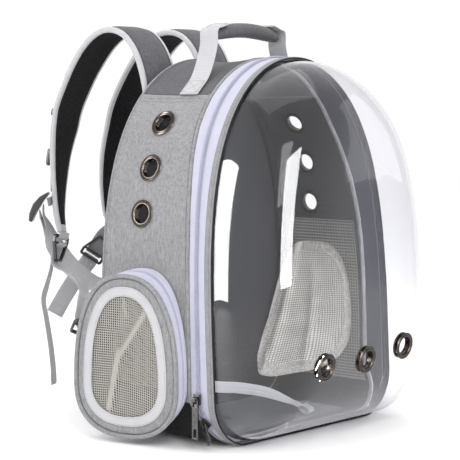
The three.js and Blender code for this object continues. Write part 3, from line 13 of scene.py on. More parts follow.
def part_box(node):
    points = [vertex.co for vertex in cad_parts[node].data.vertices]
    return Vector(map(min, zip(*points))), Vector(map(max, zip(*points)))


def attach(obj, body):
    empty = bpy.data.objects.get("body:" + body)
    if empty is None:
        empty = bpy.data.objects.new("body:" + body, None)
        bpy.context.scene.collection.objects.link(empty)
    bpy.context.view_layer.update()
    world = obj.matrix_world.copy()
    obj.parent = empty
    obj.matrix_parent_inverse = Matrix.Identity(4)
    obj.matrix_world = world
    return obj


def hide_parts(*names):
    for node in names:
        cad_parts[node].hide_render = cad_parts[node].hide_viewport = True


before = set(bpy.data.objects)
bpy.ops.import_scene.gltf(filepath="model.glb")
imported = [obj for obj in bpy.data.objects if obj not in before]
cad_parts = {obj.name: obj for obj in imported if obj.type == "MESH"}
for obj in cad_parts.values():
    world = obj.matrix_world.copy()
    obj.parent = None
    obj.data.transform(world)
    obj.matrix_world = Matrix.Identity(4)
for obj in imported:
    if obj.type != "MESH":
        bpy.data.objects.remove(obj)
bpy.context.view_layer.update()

bl_info = {
    "name": "Bubble Pet Carrier Backpack",
    "version": (1, 0, 0),
    "blender": (4, 5, 0),
    "location": "View3D > Sidebar > Carrier",
    "description": "Dresses the carrier's frame in cloth, webbing, net, metal and clear plastic",
    "category": "Object",
}

# Sizes in metres, as in the part's own source
BODY_WIDTH = 0.306
BODY_HEIGHT = 0.400
BODY_DEPTH = 0.153
HALF_WIDTH = BODY_WIDTH / 2
FRONT_Y = -BODY_DEPTH / 2
BACK_Y = BODY_DEPTH / 2
BOTTOM_CORNER = 0.050
SIDE_TOP = 0.075
ARCH_POWER_ACROSS = 2.0
ARCH_POWER_UP = 3.28
FRONT_LEAN = 0.046
CLOTH = 0.0024
FIT_GAP = 0.0003
PIPING_RADIUS = 0.0022
BASE_RISE = 0.046
TOP_SEAM_HEIGHT = 0.361
TOP_SAG = 0.004
TAPE_WIDTH = 0.023
TAPE_INSET = 0.0010
TAPE_THICKNESS = 0.0015
TAPE_END_HEIGHT = 0.007
COIL_WIDTH = 0.0046
COIL_END_HEIGHT = 0.020
RIM_DEPTH = 0.0095
DOME_DEPTH = 0.096
DOME_WALL = 0.0018
DOME_CENTRE_HEIGHT = 0.245
VENT_HOLE_RADIUS = 0.0122
DOOR_HALF_WIDTH = 0.064
DOOR_CENTRE_Y = 0.016
DOOR_WIDEST_HEIGHT = 0.062
DOOR_RISE = 0.114
DOOR_DROP = 0.057
DOOR_POWER = 2.4
DOOR_STANDOFF = 0.026
DOOR_TILT = math.radians(10.6)
DOOR_PANEL_THICKNESS = 0.0024
DOOR_PIPING_RADIUS = 0.0024
DOOR_GUSSET_THICKNESS = 0.0016
DOOR_FACE_BORDER = 0.013
DOOR_BINDING_WIDTH = 0.010
DOOR_FOOT_LIFT = 0.019
DOOR_FOOT_SHIFT = -0.004
OPENING_BORDER = 0.012
NET_RIDGE_HEIGHT = 0.003

# Sizes of the look alone, in metres
OPENING_FOOT = 0.005
SEAM_REACH = 0.009
RIPPLE_PITCH = 0.0125
SWELL_PITCH = 0.055
CHANNEL_HALF_WIDTH = 0.006
CHANNEL_DEPTH = 0.0022
BACK_EDGE_DROP = 0.003
THREAD_RADIUS = 0.00035
COIL_PITCH = 0.0021
COIL_THREAD = 0.00075
SLEEVE_FOOT = 0.009
NET_PULL = 0.0025
NET_WANDER = 0.0012
PAD_STEP = 0.004
RAIL_LENGTH = 0.155
FLOOR_REACH = 6.0
FLOOR_DROP = 0.0006
TOP_STITCH_DROPS = (0.004, 0.0075)

# Gathers round the net behind a door's window
SLEEVE_GATHERS = 46

# Tables, as shares of the named sizes
TAPE_HEIGHTS = (0.0, 0.03, 0.065, 0.125, 0.3, 0.52, 0.65, 0.74, 0.82, 0.9, 1.0)
TAPE_WIDTHS = (0.12, 0.26, 0.44, 0.98, 0.91, 0.9, 1.03, 1.21, 1.37, 1.4, 1.34)
SAG_DEPTHS = (0.0, 0.25, 0.5, 0.75, 1.0)
SAG_SINKS = (0.0, 0.7, 1.0, 0.8, 0.0)
DOME_DEPTHS = (0.03, 0.12, 0.35, 0.6, 0.8, 0.92, 0.98, 1.0)
DOME_SIZES = (0.981, 0.975, 0.955, 0.885, 0.785, 0.65, 0.46, 0.22)
DOME_TIP_DEPTH = 1.005
CHANNEL_HEIGHTS = (0.30, 0.60)
BACK_PAD_CENTRE = 0.48
STITCH_SHARE = 0.76
SIDES = {"left": -1, "right": 1}

# The photograph's camera
CAMERA_AZIMUTH = math.radians(-49.5)
CAMERA_ELEVATION = math.radians(4.4)
CAMERA_DISTANCE = 1.7
CAMERA_TARGET = Vector((-0.120, -0.0765, 0.2225))
CAMERA_LENS = 131.2


class CarrierSizes(bpy.types.PropertyGroup):
    """Sizes of the cloth's relief and of the fine net."""

    weave_pitch: FloatProperty(
        name="Weave pitch", description="Distance between threads", default=0.0009, unit="LENGTH"
    )
    net_pitch: FloatProperty(
        name="Net pitch", description="Size of a net cell", default=0.0025, unit="LENGTH"
    )
    net_thread: FloatProperty(
        name="Net thread", description="Width of a net thread", default=0.0009, unit="LENGTH"
    )
    pucker_depth: FloatProperty(
        name="Pucker depth", description="Relief of the soft walls", default=0.0009, unit="LENGTH"
    )
    stitch_length: FloatProperty(
        name="Stitch length", description="Length of one stitch", default=0.0030, unit="LENGTH"
    )


def colour_property(name, description, default):
    return FloatVectorProperty(
        name=name, description=description, default=default, subtype="COLOR", size=3,
        min=0.0, max=1.0,
    )


class CarrierColours(bpy.types.PropertyGroup):
    """Base colours of the finishes, in linear light."""

    heather: colour_property("Heather cloth", "Grey melange of the walls", (0.27, 0.27, 0.278))
    dark_heather: colour_property("Dark cloth", "Top panel and handle", (0.105, 0.105, 0.114))
    tape: colour_property("Zipper tape", "White with a lavender tint", (0.50, 0.50, 0.60))
    webbing: colour_property("Webbing", "Off-white straps", (0.51, 0.51, 0.53))
    binding: colour_property("Binding", "White bound edges", (0.52, 0.52, 0.54))
    black: colour_property("Black cloth", "Base and pad mesh", (0.011, 0.011, 0.012))
    plastic: colour_property("Black plastic", "Rings and buckle", (0.010, 0.010, 0.011))
    lining: colour_property("Lining", "Dark interior", (0.036, 0.037, 0.041))
    net: colour_property("Net", "Beige-grey knitted net", (0.44, 0.425, 0.39))
    metal: colour_property("Vent metal", "Gunmetal with a warm cast", (0.060, 0.052, 0.047))
    # Painted shade: the tape's lavender white darkened, for the faces of tape and rim that look into the
    # cabin
    tape_back: colour_property("Tape back", "Smoky inner face of tape and rim", (0.060, 0.060, 0.085))


def sizes():
    return bpy.context.scene.carrier_sizes


def colours():
    return bpy.context.scene.carrier_colours


def stacked(parts, axis=-1):
    """Stacks arrays after stretching them to one shape."""
    return np.stack(np.broadcast_arrays(*parts), axis=axis)


# Outline of the body, seen from the front
def half_outline():
    angle = np.linspace(0, math.pi / 2, 181)
    rise = np.maximum(np.cos(angle), 0) ** (2 / ARCH_POWER_UP)
    turn = np.linspace(0, math.pi / 2, 61)
    centre_x = HALF_WIDTH - BOTTOM_CORNER
    x = np.concatenate([
        HALF_WIDTH * np.sin(angle) ** (2 / ARCH_POWER_ACROSS),
        centre_x + BOTTOM_CORNER * np.cos(turn),
        [0.0],
    ])
    z = np.concatenate([
        SIDE_TOP + (BODY_HEIGHT - SIDE_TOP) * rise,
        BOTTOM_CORNER * (1 - np.sin(turn)),
        [0.0],
    ])
    run = np.concatenate([[0.0], np.cumsum(np.hypot(np.diff(x), np.diff(z)))])
    return x, z, run


OUTLINE_X, OUTLINE_Z, OUTLINE_RUN = half_outline()
HALF_RUN = OUTLINE_RUN[-1]


def outline_at(run):
    """Place and outward normal on the outline; a negative run lies on the left."""
    run = np.asarray(run, float)
    wrapped = (run + HALF_RUN) % (2 * HALF_RUN) - HALF_RUN
    size = np.abs(wrapped)
    side = np.where(wrapped < 0, -1.0, 1.0)
    reach = 0.003
    low = np.maximum(size - reach, 0)
    high = np.minimum(size + reach, HALF_RUN)
    dx = np.interp(high, OUTLINE_RUN, OUTLINE_X) - np.interp(low, OUTLINE_RUN, OUTLINE_X)
    dz = np.interp(high, OUTLINE_RUN, OUTLINE_Z) - np.interp(low, OUTLINE_RUN, OUTLINE_Z)
    length = np.hypot(dx, dz)
    x = side * np.interp(size, OUTLINE_RUN, OUTLINE_X)
    z = np.interp(size, OUTLINE_RUN, OUTLINE_Z)
    return x, z, side * -dz / length, dx / length


def run_at(height):
    return float(np.interp(height, OUTLINE_Z[::-1], OUTLINE_RUN[::-1]))


def half_width_at(height):
    return np.interp(height, OUTLINE_Z[::-1], OUTLINE_X[::-1])


def front_at(height):
    return FRONT_Y + FRONT_LEAN * height


def tape_back_at(height):
    return front_at(height) + TAPE_WIDTH * np.interp(height / BODY_HEIGHT, TAPE_HEIGHTS, TAPE_WIDTHS)


def panel_front_at(height):
    return tape_back_at(height) + 2 * PIPING_RADIUS + 2 * FIT_GAP


PANEL_BACK = BACK_Y - 2 * PIPING_RADIUS - 2 * FIT_GAP


def side_sag(share, height):
    high = np.maximum(0, (height - BODY_HEIGHT * 0.7) / (BODY_HEIGHT * 0.3)) ** 2
    return TOP_SAG * np.interp(share, SAG_DEPTHS, SAG_SINKS) * high


def smooth_step(value, low, high):
    share = np.clip((value - low) / (high - low), 0, 1)
    return share * share * (3 - 2 * share)


def relief(points, pitch, seed):
    """Smooth noise from -1 to 1 at each point."""
    flat = np.asarray(points, float).reshape(-1, 3) / pitch + seed
    values = np.array([noise.noise(Vector(p)) for p in flat])
    return values.reshape(np.asarray(points).shape[:-1])


# Meshes
def mesh_object(name, vertices, faces, coordinates=None):
    mesh = bpy.data.meshes.new(name)
    mesh.from_pydata([tuple(v) for v in vertices], [], [tuple(f) for f in faces])
    if coordinates is not None:
        layer = mesh.uv_layers.new(name="run")
        layer.data.foreach_set("uv", np.asarray(coordinates, np.float32).ravel())
    mesh.validate()
    piece = bpy.data.objects.new(name, mesh)
    bpy.context.scene.collection.objects.link(piece)
    return piece


def steps_along(points, axis):
    """Distances along one axis of a grid, averaged over the other, starting at zero."""
    gaps = np.linalg.norm(np.diff(points, axis=axis), axis=-1).mean(axis=1 - axis)
    return np.concatenate([[0.0], np.cumsum(gaps)])


def grid_object(name, points, wrap_rows=False, wrap_columns=False, skip=None):
    """A sheet of quads through a grid of points, with its lengths in metres as coordinates."""
    points = np.asarray(points, float)
    rows, columns = points.shape[:2]
    closed = points
    if wrap_rows:
        closed = np.concatenate([closed, closed[:1]], axis=0)
    if wrap_columns:
        closed = np.concatenate([closed, closed[:, :1]], axis=1)
    along = steps_along(closed, 0)
    across = steps_along(closed, 1)
    face_rows = rows if wrap_rows else rows - 1
    face_columns = columns if wrap_columns else columns - 1
    i, j = np.meshgrid(np.arange(face_rows), np.arange(face_columns), indexing="ij")
    keep = np.ones(i.shape, bool) if skip is None else ~skip
    i, j = i[keep], j[keep]
    next_i, next_j = (i + 1) % rows, (j + 1) % columns
    faces = stacked(
        [i * columns + j, next_i * columns + j, next_i * columns + next_j, i * columns + next_j],
        axis=1,
    )
    corners = stacked(
        [
            stacked([along[i], across[j]], -1),
            stacked([along[i + 1], across[j]], -1),
            stacked([along[i + 1], across[j + 1]], -1),
            stacked([along[i], across[j + 1]], -1),
        ],
        axis=1,
    )
    return mesh_object(name, points.reshape(-1, 3), faces, corners)


def apply_modifiers(piece):
    graph = bpy.context.evaluated_depsgraph_get()
    made = bpy.data.meshes.new_from_object(piece.evaluated_get(graph), depsgraph=graph)
    piece.modifiers.clear()
    piece.data = made
    return piece


def tidy_normals(piece):
    mesh = bmesh.new()
    mesh.from_mesh(piece.data)
    loose = [v for v in mesh.verts if not v.link_faces]
    bmesh.ops.delete(mesh, geom=loose, context="VERTS")
    bmesh.ops.recalc_face_normals(mesh, faces=mesh.faces)
    mesh.to_mesh(piece.data)
    mesh.free()
    return piece


def thicken(piece, thickness, offset=-1.0):
    solid = piece.modifiers.new("thickness", "SOLIDIFY")
    solid.thickness = thickness
    solid.offset = offset
    solid.use_even_offset = False
    return apply_modifiers(piece)


def shade(piece, crease_degrees=35):
    piece.data.polygons.foreach_set("use_smooth", [True] * len(piece.data.polygons))
    piece.data.set_sharp_from_angle(angle=math.radians(crease_degrees))
    return piece


def dress(piece, finish, nodes=(), body="carrier", crease_degrees=40):
    """Finishes a piece, seats it on its body and hides the nodes it stands for."""
    shade(piece, crease_degrees)
    if finish is not None:
        piece.data.materials.clear()
        piece.data.materials.append(finish)
    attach(piece, body)
    if nodes:
        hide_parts(*nodes)
    return piece


def shell_rows(runs, front, back, columns, inset):
    """Outer points of a wall along the outline, and its outward normals."""
    x, z, nx, nz = outline_at(runs)
    share = np.linspace(0, 1, columns + 1)[None, :]
    y = front(z)[:, None] * (1 - share) + back(z)[:, None] * share
    drop = inset(share, z[:, None])
    points = stacked(
        [x[:, None] - nx[:, None] * drop, y, z[:, None] - nz[:, None] * drop], axis=-1
    )
    normals = stacked([nx, np.zeros_like(nx), nz], axis=-1)[:, None, :] * np.ones_like(points)
    return points, normals, share


# Straps: their rings are read from the frame and drawn again with a fine rounded section
def strap_rings(node, width):
    """Centres, across directions and half sizes of a flat strap's rings, end to end."""
    mesh = bmesh.new()
    mesh.from_mesh(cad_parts[node].data)
    bmesh.ops.remove_doubles(mesh, verts=mesh.verts, dist=0.00005)
    mesh.verts.ensure_lookup_table()
    links = [[e.other_vert(v).index for e in v.link_edges] for v in mesh.verts]
    places = np.array([v.co for v in mesh.verts])
    mesh.free()

    def layers_from(start):
        found = [list(start)]
        seen = set(start)
        while True:
            ring = sorted({n for v in found[-1] for n in links[v]} - seen)
            if not ring:
                return found
            seen.update(ring)
            found.append(ring)

    best = None
    for far in layers_from([0])[-1]:
        away = np.linalg.norm(places - places[far], axis=1)
        near = sorted({m for n in links[far] for m in (n, *links[n])} - {far})
        for group in combinations(near, 3):
            found = layers_from([far, *group])
            if len(found) * 4 == len(places) and all(len(ring) == 4 for ring in found):
                score = abs(away[list(group)].max() - width)
                if best is None or score < best[0]:
                    best = (score, found)
    if best is None:
        raise RuntimeError(f"{node} is not a plain strap")
    rings = []
    previous = None
    for ring in best[1]:
        corner = places[ring]
        centre = corner.mean(axis=0)
        gaps = np.linalg.norm(corner[:, None] - corner[None], axis=-1)
        order = np.argsort(gaps[0])
        wide = (corner[order[2]] - corner[0]) / np.linalg.norm(corner[order[2]] - corner[0])
        if previous is not None and wide @ previous < 0:
            wide = -wide
        previous = wide
        rings.append((centre, wide, gaps[0][order[2]] / 2, gaps[0][order[1]] / 2))
    return rings if rings[0][0][2] > rings[-1][0][2] else rings[::-1]


def ribbon_grid(rings, step=0.003, columns=8):
    """A fine section grid along a strap: rounded edges, with its spline through the rings."""
    centres = np.array([r[0] for r in rings])
    run = np.concatenate([[0], np.cumsum(np.linalg.norm(np.diff(centres, axis=0), axis=1))])
    count = max(int(run[-1] / step), 4)
    fine = np.linspace(0, run[-1], count + 1)
    slopes = np.gradient(centres, run, axis=0)
    place = np.clip(np.searchsorted(run, fine, side="right") - 1, 0, len(run) - 2)
    gap = (run[place + 1] - run[place])[:, None]
    t = (fine - run[place])[:, None] / gap
    start, end = centres[place], centres[place + 1]
    middle = (
        (2 * t**3 - 3 * t**2 + 1) * start + (t**3 - 2 * t**2 + t) * gap * slopes[place]
        + (-2 * t**3 + 3 * t**2) * end + (t**3 - t**2) * gap * slopes[place + 1]
    )
    wide = stacked([np.interp(fine, run, [r[1][k] for r in rings]) for k in range(3)], -1)
    along = np.gradient(middle, fine, axis=0)
    along /= np.linalg.norm(along, axis=1)[:, None]
    wide -= (wide * along).sum(1)[:, None] * along
    wide /= np.linalg.norm(wide, axis=1)[:, None]
    normal = np.cross(along, wide)
    half = np.interp(fine, run, [r[2] for r in rings])
    thick = np.interp(fine, run, [r[3] for r in rings])
    share = np.linspace(-1, 1, columns + 1)
    edge = np.sqrt(np.maximum(1 - np.abs(share) ** 8, 0.12))
    over = np.concatenate([share, share[::-1]])
    lift = np.concatenate([edge, -edge[::-1]])
    grid = (
        middle[:, None]
        + wide[:, None] * (half[:, None] * over[None])[..., None]
        + normal[:, None] * (thick[:, None] * lift[None])[..., None]
    )
    return grid, middle, wide, normal, half, thick, fine


def cap_ends(piece, rows, columns):
    """Closes both ends of a wrapped grid."""
    mesh = bmesh.new()
    mesh.from_mesh(piece.data)
    mesh.verts.ensure_lookup_table()
    layer = mesh.loops.layers.uv.active
    for row in (0, rows - 1):
        ring = [mesh.verts[row * columns + j] for j in range(columns)]
        half = columns // 2
        for j in range(half - 1):
            corner = (ring[j], ring[j + 1], ring[columns - 2 - j], ring[columns - 1 - j])
            face = mesh.faces.new(corner)
            for loop in face.loops:
                loop[layer].uv = (loop.vert.co.x, loop.vert.co.z)
    bmesh.ops.recalc_face_normals(mesh, faces=mesh.faces)
    mesh.to_mesh(piece.data)
    mesh.free()
    return piece


def ribbon(node, width, finish, seed=0.0, body="carrier"):
    """A woven strap in the place of its solid; returns the piece and its measures."""
    rings = strap_rings(node, width)
    grid, middle, wide, normal, half, thick, fine = ribbon_grid(rings)
    slack = relief(middle, 0.02, seed) * 0.0002
    grid = grid + (normal * slack[:, None])[:, None]
    rows, columns = grid.shape[:2]
    piece = grid_object(f"{node}_cloth", grid, wrap_columns=True)
    cap_ends(piece, rows, columns)
    dress(piece, finish, [node], body, crease_degrees=60)
    return piece, (middle, wide, normal, half, thick, fine)


def stitches(name, seams, finish, thread=THREAD_RADIUS, body="carrier"):
    """Rows of thread stitches. A seam is its points and the outward normals there."""
    vertices, faces = [], []
    length = sizes().stitch_length
    for points, normals in seams:
        points, normals = np.asarray(points), np.asarray(normals)
        gaps = np.linalg.norm(np.diff(points, axis=0), axis=1)
        run = np.concatenate([[0], np.cumsum(gaps)])
        starts = np.arange(0.0005, run[-1] - length * 0.8, length)
        for start in starts:
            at = start + length * np.array([0, STITCH_SHARE / 2, STITCH_SHARE])
            row = stacked([np.interp(at, run, points[:, k]) for k in range(3)], -1)
            out = stacked([np.interp(at, run, normals[:, k]) for k in range(3)], -1)
            out /= np.maximum(np.linalg.norm(out, axis=1), 1e-9)[:, None]
            along = row[2] - row[0]
            along /= max(np.linalg.norm(along), 1e-9)
            side = np.cross(along, out[1])
            base = len(vertices)
            for centre, lift, girth in zip(row, (0.1, 1.1, 0.1), (0.5, 1.0, 0.5)):
                for a, b in ((-1, 0.0), (0, 0.9), (1, 0.0), (0, -0.9)):
                    vertices.append(
                        centre + out[1] * thread * (lift + b * girth) + side * thread * a * girth
                    )
            for k in (0, 4):
                for j in range(4):
                    n = (j + 1) % 4
                    faces.append((base + k + j, base + k + n, base + k + 4 + n, base + k + 4 + j))
            faces.append((base, base + 1, base + 2, base + 3))
            faces.append((base + 8, base + 9, base + 10, base + 11))
    piece = tidy_normals(mesh_object(name, vertices, faces))
    return dress(piece, finish, body=body, crease_degrees=80)


# Finishes
CLOTH_SHINE = 0.12


def material(name, colour, roughness, metallic=0.0):
    made = bpy.data.materials.new(name)
    made.use_nodes = True
    shader = made.node_tree.nodes["Principled BSDF"]
    shader.inputs["Base Color"].default_value = (*colour, 1)
    shader.inputs["Roughness"].default_value = roughness
    shader.inputs["Metallic"].default_value = metallic
    return made, made.node_tree.nodes, made.node_tree.links, shader


def texture(nodes, links, kind, source, scale, stretch=(1, 1, 1), **inputs):
    """A noise, wave or voronoi texture on stretched coordinates."""
    mapping = nodes.new("ShaderNodeMapping")
    mapping.inputs["Scale"].default_value = stretch
    made = nodes.new(kind)
    made.inputs["Scale"].default_value = scale
    for name, value in inputs.items():
        made.inputs[name.replace("_", " ")].default_value = value
    links.new(source, mapping.inputs["Vector"])
    links.new(mapping.outputs["Vector"], made.inputs["Vector"])
    return made


def ramp(nodes, links, source, stops):
    made = nodes.new("ShaderNodeValToRGB")
    elements = made.color_ramp.elements
    while len(elements) < len(stops):
        elements.new(0.5)
    for element, (place, colour) in zip(elements, stops):
        element.position = place
        element.color = (*colour, 1)
    links.new(source, made.inputs["Fac"])
    return made.outputs["Color"]


def mix(nodes, links, kind, factor, first, second):
    made = nodes.new("ShaderNodeMix")
    made.data_type = "RGBA"
    made.blend_type = kind
    made.inputs["Factor"].default_value = factor
    links.new(first, made.inputs["A"])
    links.new(second, made.inputs["B"])
    return made.outputs["Result"]


def bump(nodes, links, shader, sources):
    """Chains bumps: each source has its height, strength and distance."""
    normal = None
    for height, strength, distance in sources:
        made = nodes.new("ShaderNodeBump")
        made.inputs["Strength"].default_value = strength
        made.inputs["Distance"].default_value = distance
        links.new(height, made.inputs["Height"])
        if normal is not None:
            links.new(normal, made.inputs["Normal"])
        normal = made.outputs["Normal"]
    links.new(normal, shader.inputs["Normal"])


def scaled(colour, factor):
    return tuple(min(c * factor, 1.0) for c in colour)


def grey(value):
    return (value, value, value)


def heather(name, colour, contrast=0.22, roughness=0.92, sheen=0.12, weave=0.35, fuzz=0.35):
    """Melange oxford cloth: long light and dark fibres both ways over a plain weave."""
    made, nodes, links, shader = material(name, colour, roughness)
    shader.inputs["Specular IOR Level"].default_value = CLOTH_SHINE
    shader.inputs["Sheen Weight"].default_value = sheen
    shader.inputs["Sheen Roughness"].default_value = 0.5
    place = nodes.new("ShaderNodeTexCoord").outputs["Object"]
    upright = texture(nodes, links, "ShaderNodeTexNoise", place, 620, (1, 1, 0.22), Detail=3)
    level = texture(nodes, links, "ShaderNodeTexNoise", place, 620, (0.3, 0.3, 1), Detail=3)
    cloudy = texture(nodes, links, "ShaderNodeTexNoise", place, 26, Detail=2)
    fibres = ramp(nodes, links, upright.outputs["Fac"], [
        (0.30, scaled(colour, 1 - contrast)), (0.5, colour), (0.72, scaled(colour, 1 + contrast)),
    ])
    crossing = ramp(nodes, links, level.outputs["Fac"], [
        (0.3, grey(1 - contrast * 0.7)), (0.5, grey(1.0)), (0.7, grey(1.0)),
    ])
    tone = ramp(nodes, links, cloudy.outputs["Fac"], [(0.3, grey(0.93)), (0.7, grey(1.0))])
    woven = mix(nodes, links, "MULTIPLY", 1.0, fibres, crossing)
    links.new(mix(nodes, links, "MULTIPLY", 1.0, woven, tone), shader.inputs["Base Color"])
    pitch = 1 / sizes().weave_pitch
    warp = texture(nodes, links, "ShaderNodeTexWave", place, pitch * 0.16, (0.7, 0.7, 0),
                   Distortion=0.6, Detail=1)
    weft = texture(nodes, links, "ShaderNodeTexWave", place, pitch * 0.16, (0, 0, 1),
                   Distortion=0.6, Detail=1)
    weft.bands_direction = "Z"
    threads = mix(nodes, links, "MULTIPLY", 1.0, warp.outputs["Color"], weft.outputs["Color"])
    bump(nodes, links, shader, [
        (threads, weave, 0.00035), (upright.outputs["Fac"], fuzz, 0.0005),
        (cloudy.outputs["Fac"], fuzz * 0.7, 0.002),
    ])
    return made


def ribbed(name, colour, pitch=0.0011, along=True, roughness=0.82, shade_depth=0.10, wear=0.05):
    """Woven webbing or tape: ribs on the piece's own run coordinates."""
    made, nodes, links, shader = material(name, colour, roughness)
    shader.inputs["Specular IOR Level"].default_value = CLOTH_SHINE
    shader.inputs["Sheen Weight"].default_value = 0.15
    shader.inputs["Sheen Roughness"].default_value = 0.45
    coordinates = nodes.new("ShaderNodeTexCoord")
    run, place = coordinates.outputs["UV"], coordinates.outputs["Object"]
    turned = (1, 0, 0) if along else (0, 1, 0)
    ribs = texture(nodes, links, "ShaderNodeTexWave", run, 0.16 / pitch, turned, Distortion=0.3)
    ribs.bands_direction = "X" if along else "Y"
    plies = texture(nodes, links, "ShaderNodeTexWave", run, 0.16 / (pitch * 1.7),
                    (0, 1, 0) if along else (1, 0, 0), Distortion=0.5)
    plies.bands_direction = "Y" if along else "X"
    soil = texture(nodes, links, "ShaderNodeTexNoise", place, 60, Detail=4)
    lines = ramp(nodes, links, ribs.outputs["Color"], [
        (0.0, scaled(colour, 1 - shade_depth)), (0.6, colour),
    ])
    tone = ramp(nodes, links, soil.outputs["Fac"], [(0.35, grey(1 - wear)), (0.65, grey(1.0))])
    links.new(mix(nodes, links, "MULTIPLY", 1.0, lines, tone), shader.inputs["Base Color"])
    bump(nodes, links, shader, [
        (ribs.outputs["Color"], 0.5, 0.0003), (plies.outputs["Color"], 0.35, 0.0003),
        (soil.outputs["Fac"], 0.12, 0.0006),
    ])
    return made


def air_mesh(name, colour, roughness=0.95):
    """Black spacer mesh with small round holes."""
    made, nodes, links, shader = material(name, colour, roughness)
    shader.inputs["Specular IOR Level"].default_value = CLOTH_SHINE
    place = nodes.new("ShaderNodeTexCoord").outputs["Object"]
    cells = texture(nodes, links, "ShaderNodeTexVoronoi", place, 420, Randomness=0.35)
    soil = texture(nodes, links, "ShaderNodeTexNoise", place, 90, Detail=3)
    holes = ramp(nodes, links, cells.outputs["Distance"], [
        (0.12, scaled(colour, 0.4)), (0.42, colour), (0.7, scaled(colour, 1.6)),
    ])
    tone = ramp(nodes, links, soil.outputs["Fac"], [(0.3, grey(0.8)), (0.7, grey(1.0))])
    links.new(mix(nodes, links, "MULTIPLY", 1.0, holes, tone), shader.inputs["Base Color"])
    bump(nodes, links, shader, [(cells.outputs["Distance"], 0.5, 0.0008)])
    return made


def moulded(name, colour, roughness=0.42, grain=0.08):
    """Moulded plastic with a fine grain and rubbed spots."""
    made, nodes, links, shader = material(name, colour, roughness)
    place = nodes.new("ShaderNodeTexCoord").outputs["Object"]
    fine = texture(nodes, links, "ShaderNodeTexNoise", place, 1400, Detail=2)
    rubbed = texture(nodes, links, "ShaderNodeTexNoise", place, 70, Detail=4)
    gloss = ramp(nodes, links, rubbed.outputs["Fac"], [
        (0.35, grey(roughness - 0.08)), (0.7, grey(roughness + 0.1)),
    ])
    tone = ramp(nodes, links, rubbed.outputs["Fac"], [
        (0.3, colour), (0.8, scaled(colour, 1.5)),
    ])
    links.new(gloss, shader.inputs["Roughness"])
    links.new(tone, shader.inputs["Base Color"])
    bump(nodes, links, shader, [(fine.outputs["Fac"], grain, 0.0002)])
    return made


def plated(name, colour, roughness=0.24):
    """Gunmetal plating with fine scuffs and a painted highlight, lighter and warmer, on its convex
    edges.
    """
    made, nodes, links, shader = material(name, colour, roughness, metallic=1.0)
    place = nodes.new("ShaderNodeTexCoord").outputs["Object"]
    scuffs = texture(nodes, links, "ShaderNodeTexNoise", place, 300, (1, 1, 3), Detail=5)
    # Pointiness marks the convex edges, where the painted highlight goes
    edge_highlight = nodes.new("ShaderNodeNewGeometry").outputs["Pointiness"]
    gloss = ramp(nodes, links, scuffs.outputs["Fac"], [
        (0.35, grey(roughness - 0.06)), (0.75, grey(roughness + 0.14)),
    ])
    # The painted highlight's colour: the plating made lighter and warmer
    warm = (colour[0] * 2.2, colour[1] * 1.8, colour[2] * 1.5)
    tone = ramp(nodes, links, edge_highlight, [(0.52, colour), (0.70, warm)])
    links.new(gloss, shader.inputs["Roughness"])
    links.new(tone, shader.inputs["Base Color"])
    bump(nodes, links, shader, [(scuffs.outputs["Fac"], 0.05, 0.0002)])
    return made


def clear_plastic(name):
    """Clear moulded plastic with a faint smoky tint and the slow waves of its moulding."""
    made, nodes, links, shader = material(name, (0.93, 0.93, 0.96), 0.0)
    shader.inputs["Transmission Weight"].default_value = 1.0
    shader.inputs["IOR"].default_value = 1.38
    shader.inputs["Specular IOR Level"].default_value = 0.6
    place = nodes.new("ShaderNodeTexCoord").outputs["Object"]
    waves = texture(nodes, links, "ShaderNodeTexNoise", place, 9, Detail=1)
    bump(nodes, links, shader, [(waves.outputs["Fac"], 0.05, 0.003)])
    return made


def knitted(name, colour, cell, dark):
    """A fine net on a closed cloth: dark square cells between light threads."""
    made, nodes, links, shader = material(name, colour, 0.9)
    shader.inputs["Specular IOR Level"].default_value = CLOTH_SHINE
    shader.inputs["Sheen Weight"].default_value = 0.1
    coordinates = nodes.new("ShaderNodeTexCoord")
    run, place = coordinates.outputs["UV"], coordinates.outputs["Object"]
    down = texture(nodes, links, "ShaderNodeTexWave", run, 0.16 / cell, (1, 0, 0), Distortion=0.25)
    down.bands_direction = "X"
    level = texture(nodes, links, "ShaderNodeTexWave", run, 0.16 / cell, (0, 1, 0), Distortion=0.25)
    level.bands_direction = "Y"
    threads = nodes.new("ShaderNodeMath")
    threads.operation = "MINIMUM"
    links.new(down.outputs["Fac"], threads.inputs[0])
    links.new(level.outputs["Fac"], threads.inputs[1])
    cloudy = texture(nodes, links, "ShaderNodeTexNoise", place, 45, Detail=3)
    cells = ramp(nodes, links, threads.outputs["Value"], [
        (0.25, colour), (0.6, scaled(colour, dark)),
    ])
    tone = ramp(nodes, links, cloudy.outputs["Fac"], [(0.3, grey(0.78)), (0.7, grey(1.0))])
    links.new(mix(nodes, links, "MULTIPLY", 1.0, cells, tone), shader.inputs["Base Color"])
    bump(nodes, links, shader, [(threads.outputs["Value"], -0.6, 0.0005)])
    return made


FINISHES = {}


def finish(name):
    return FINISHES[name]


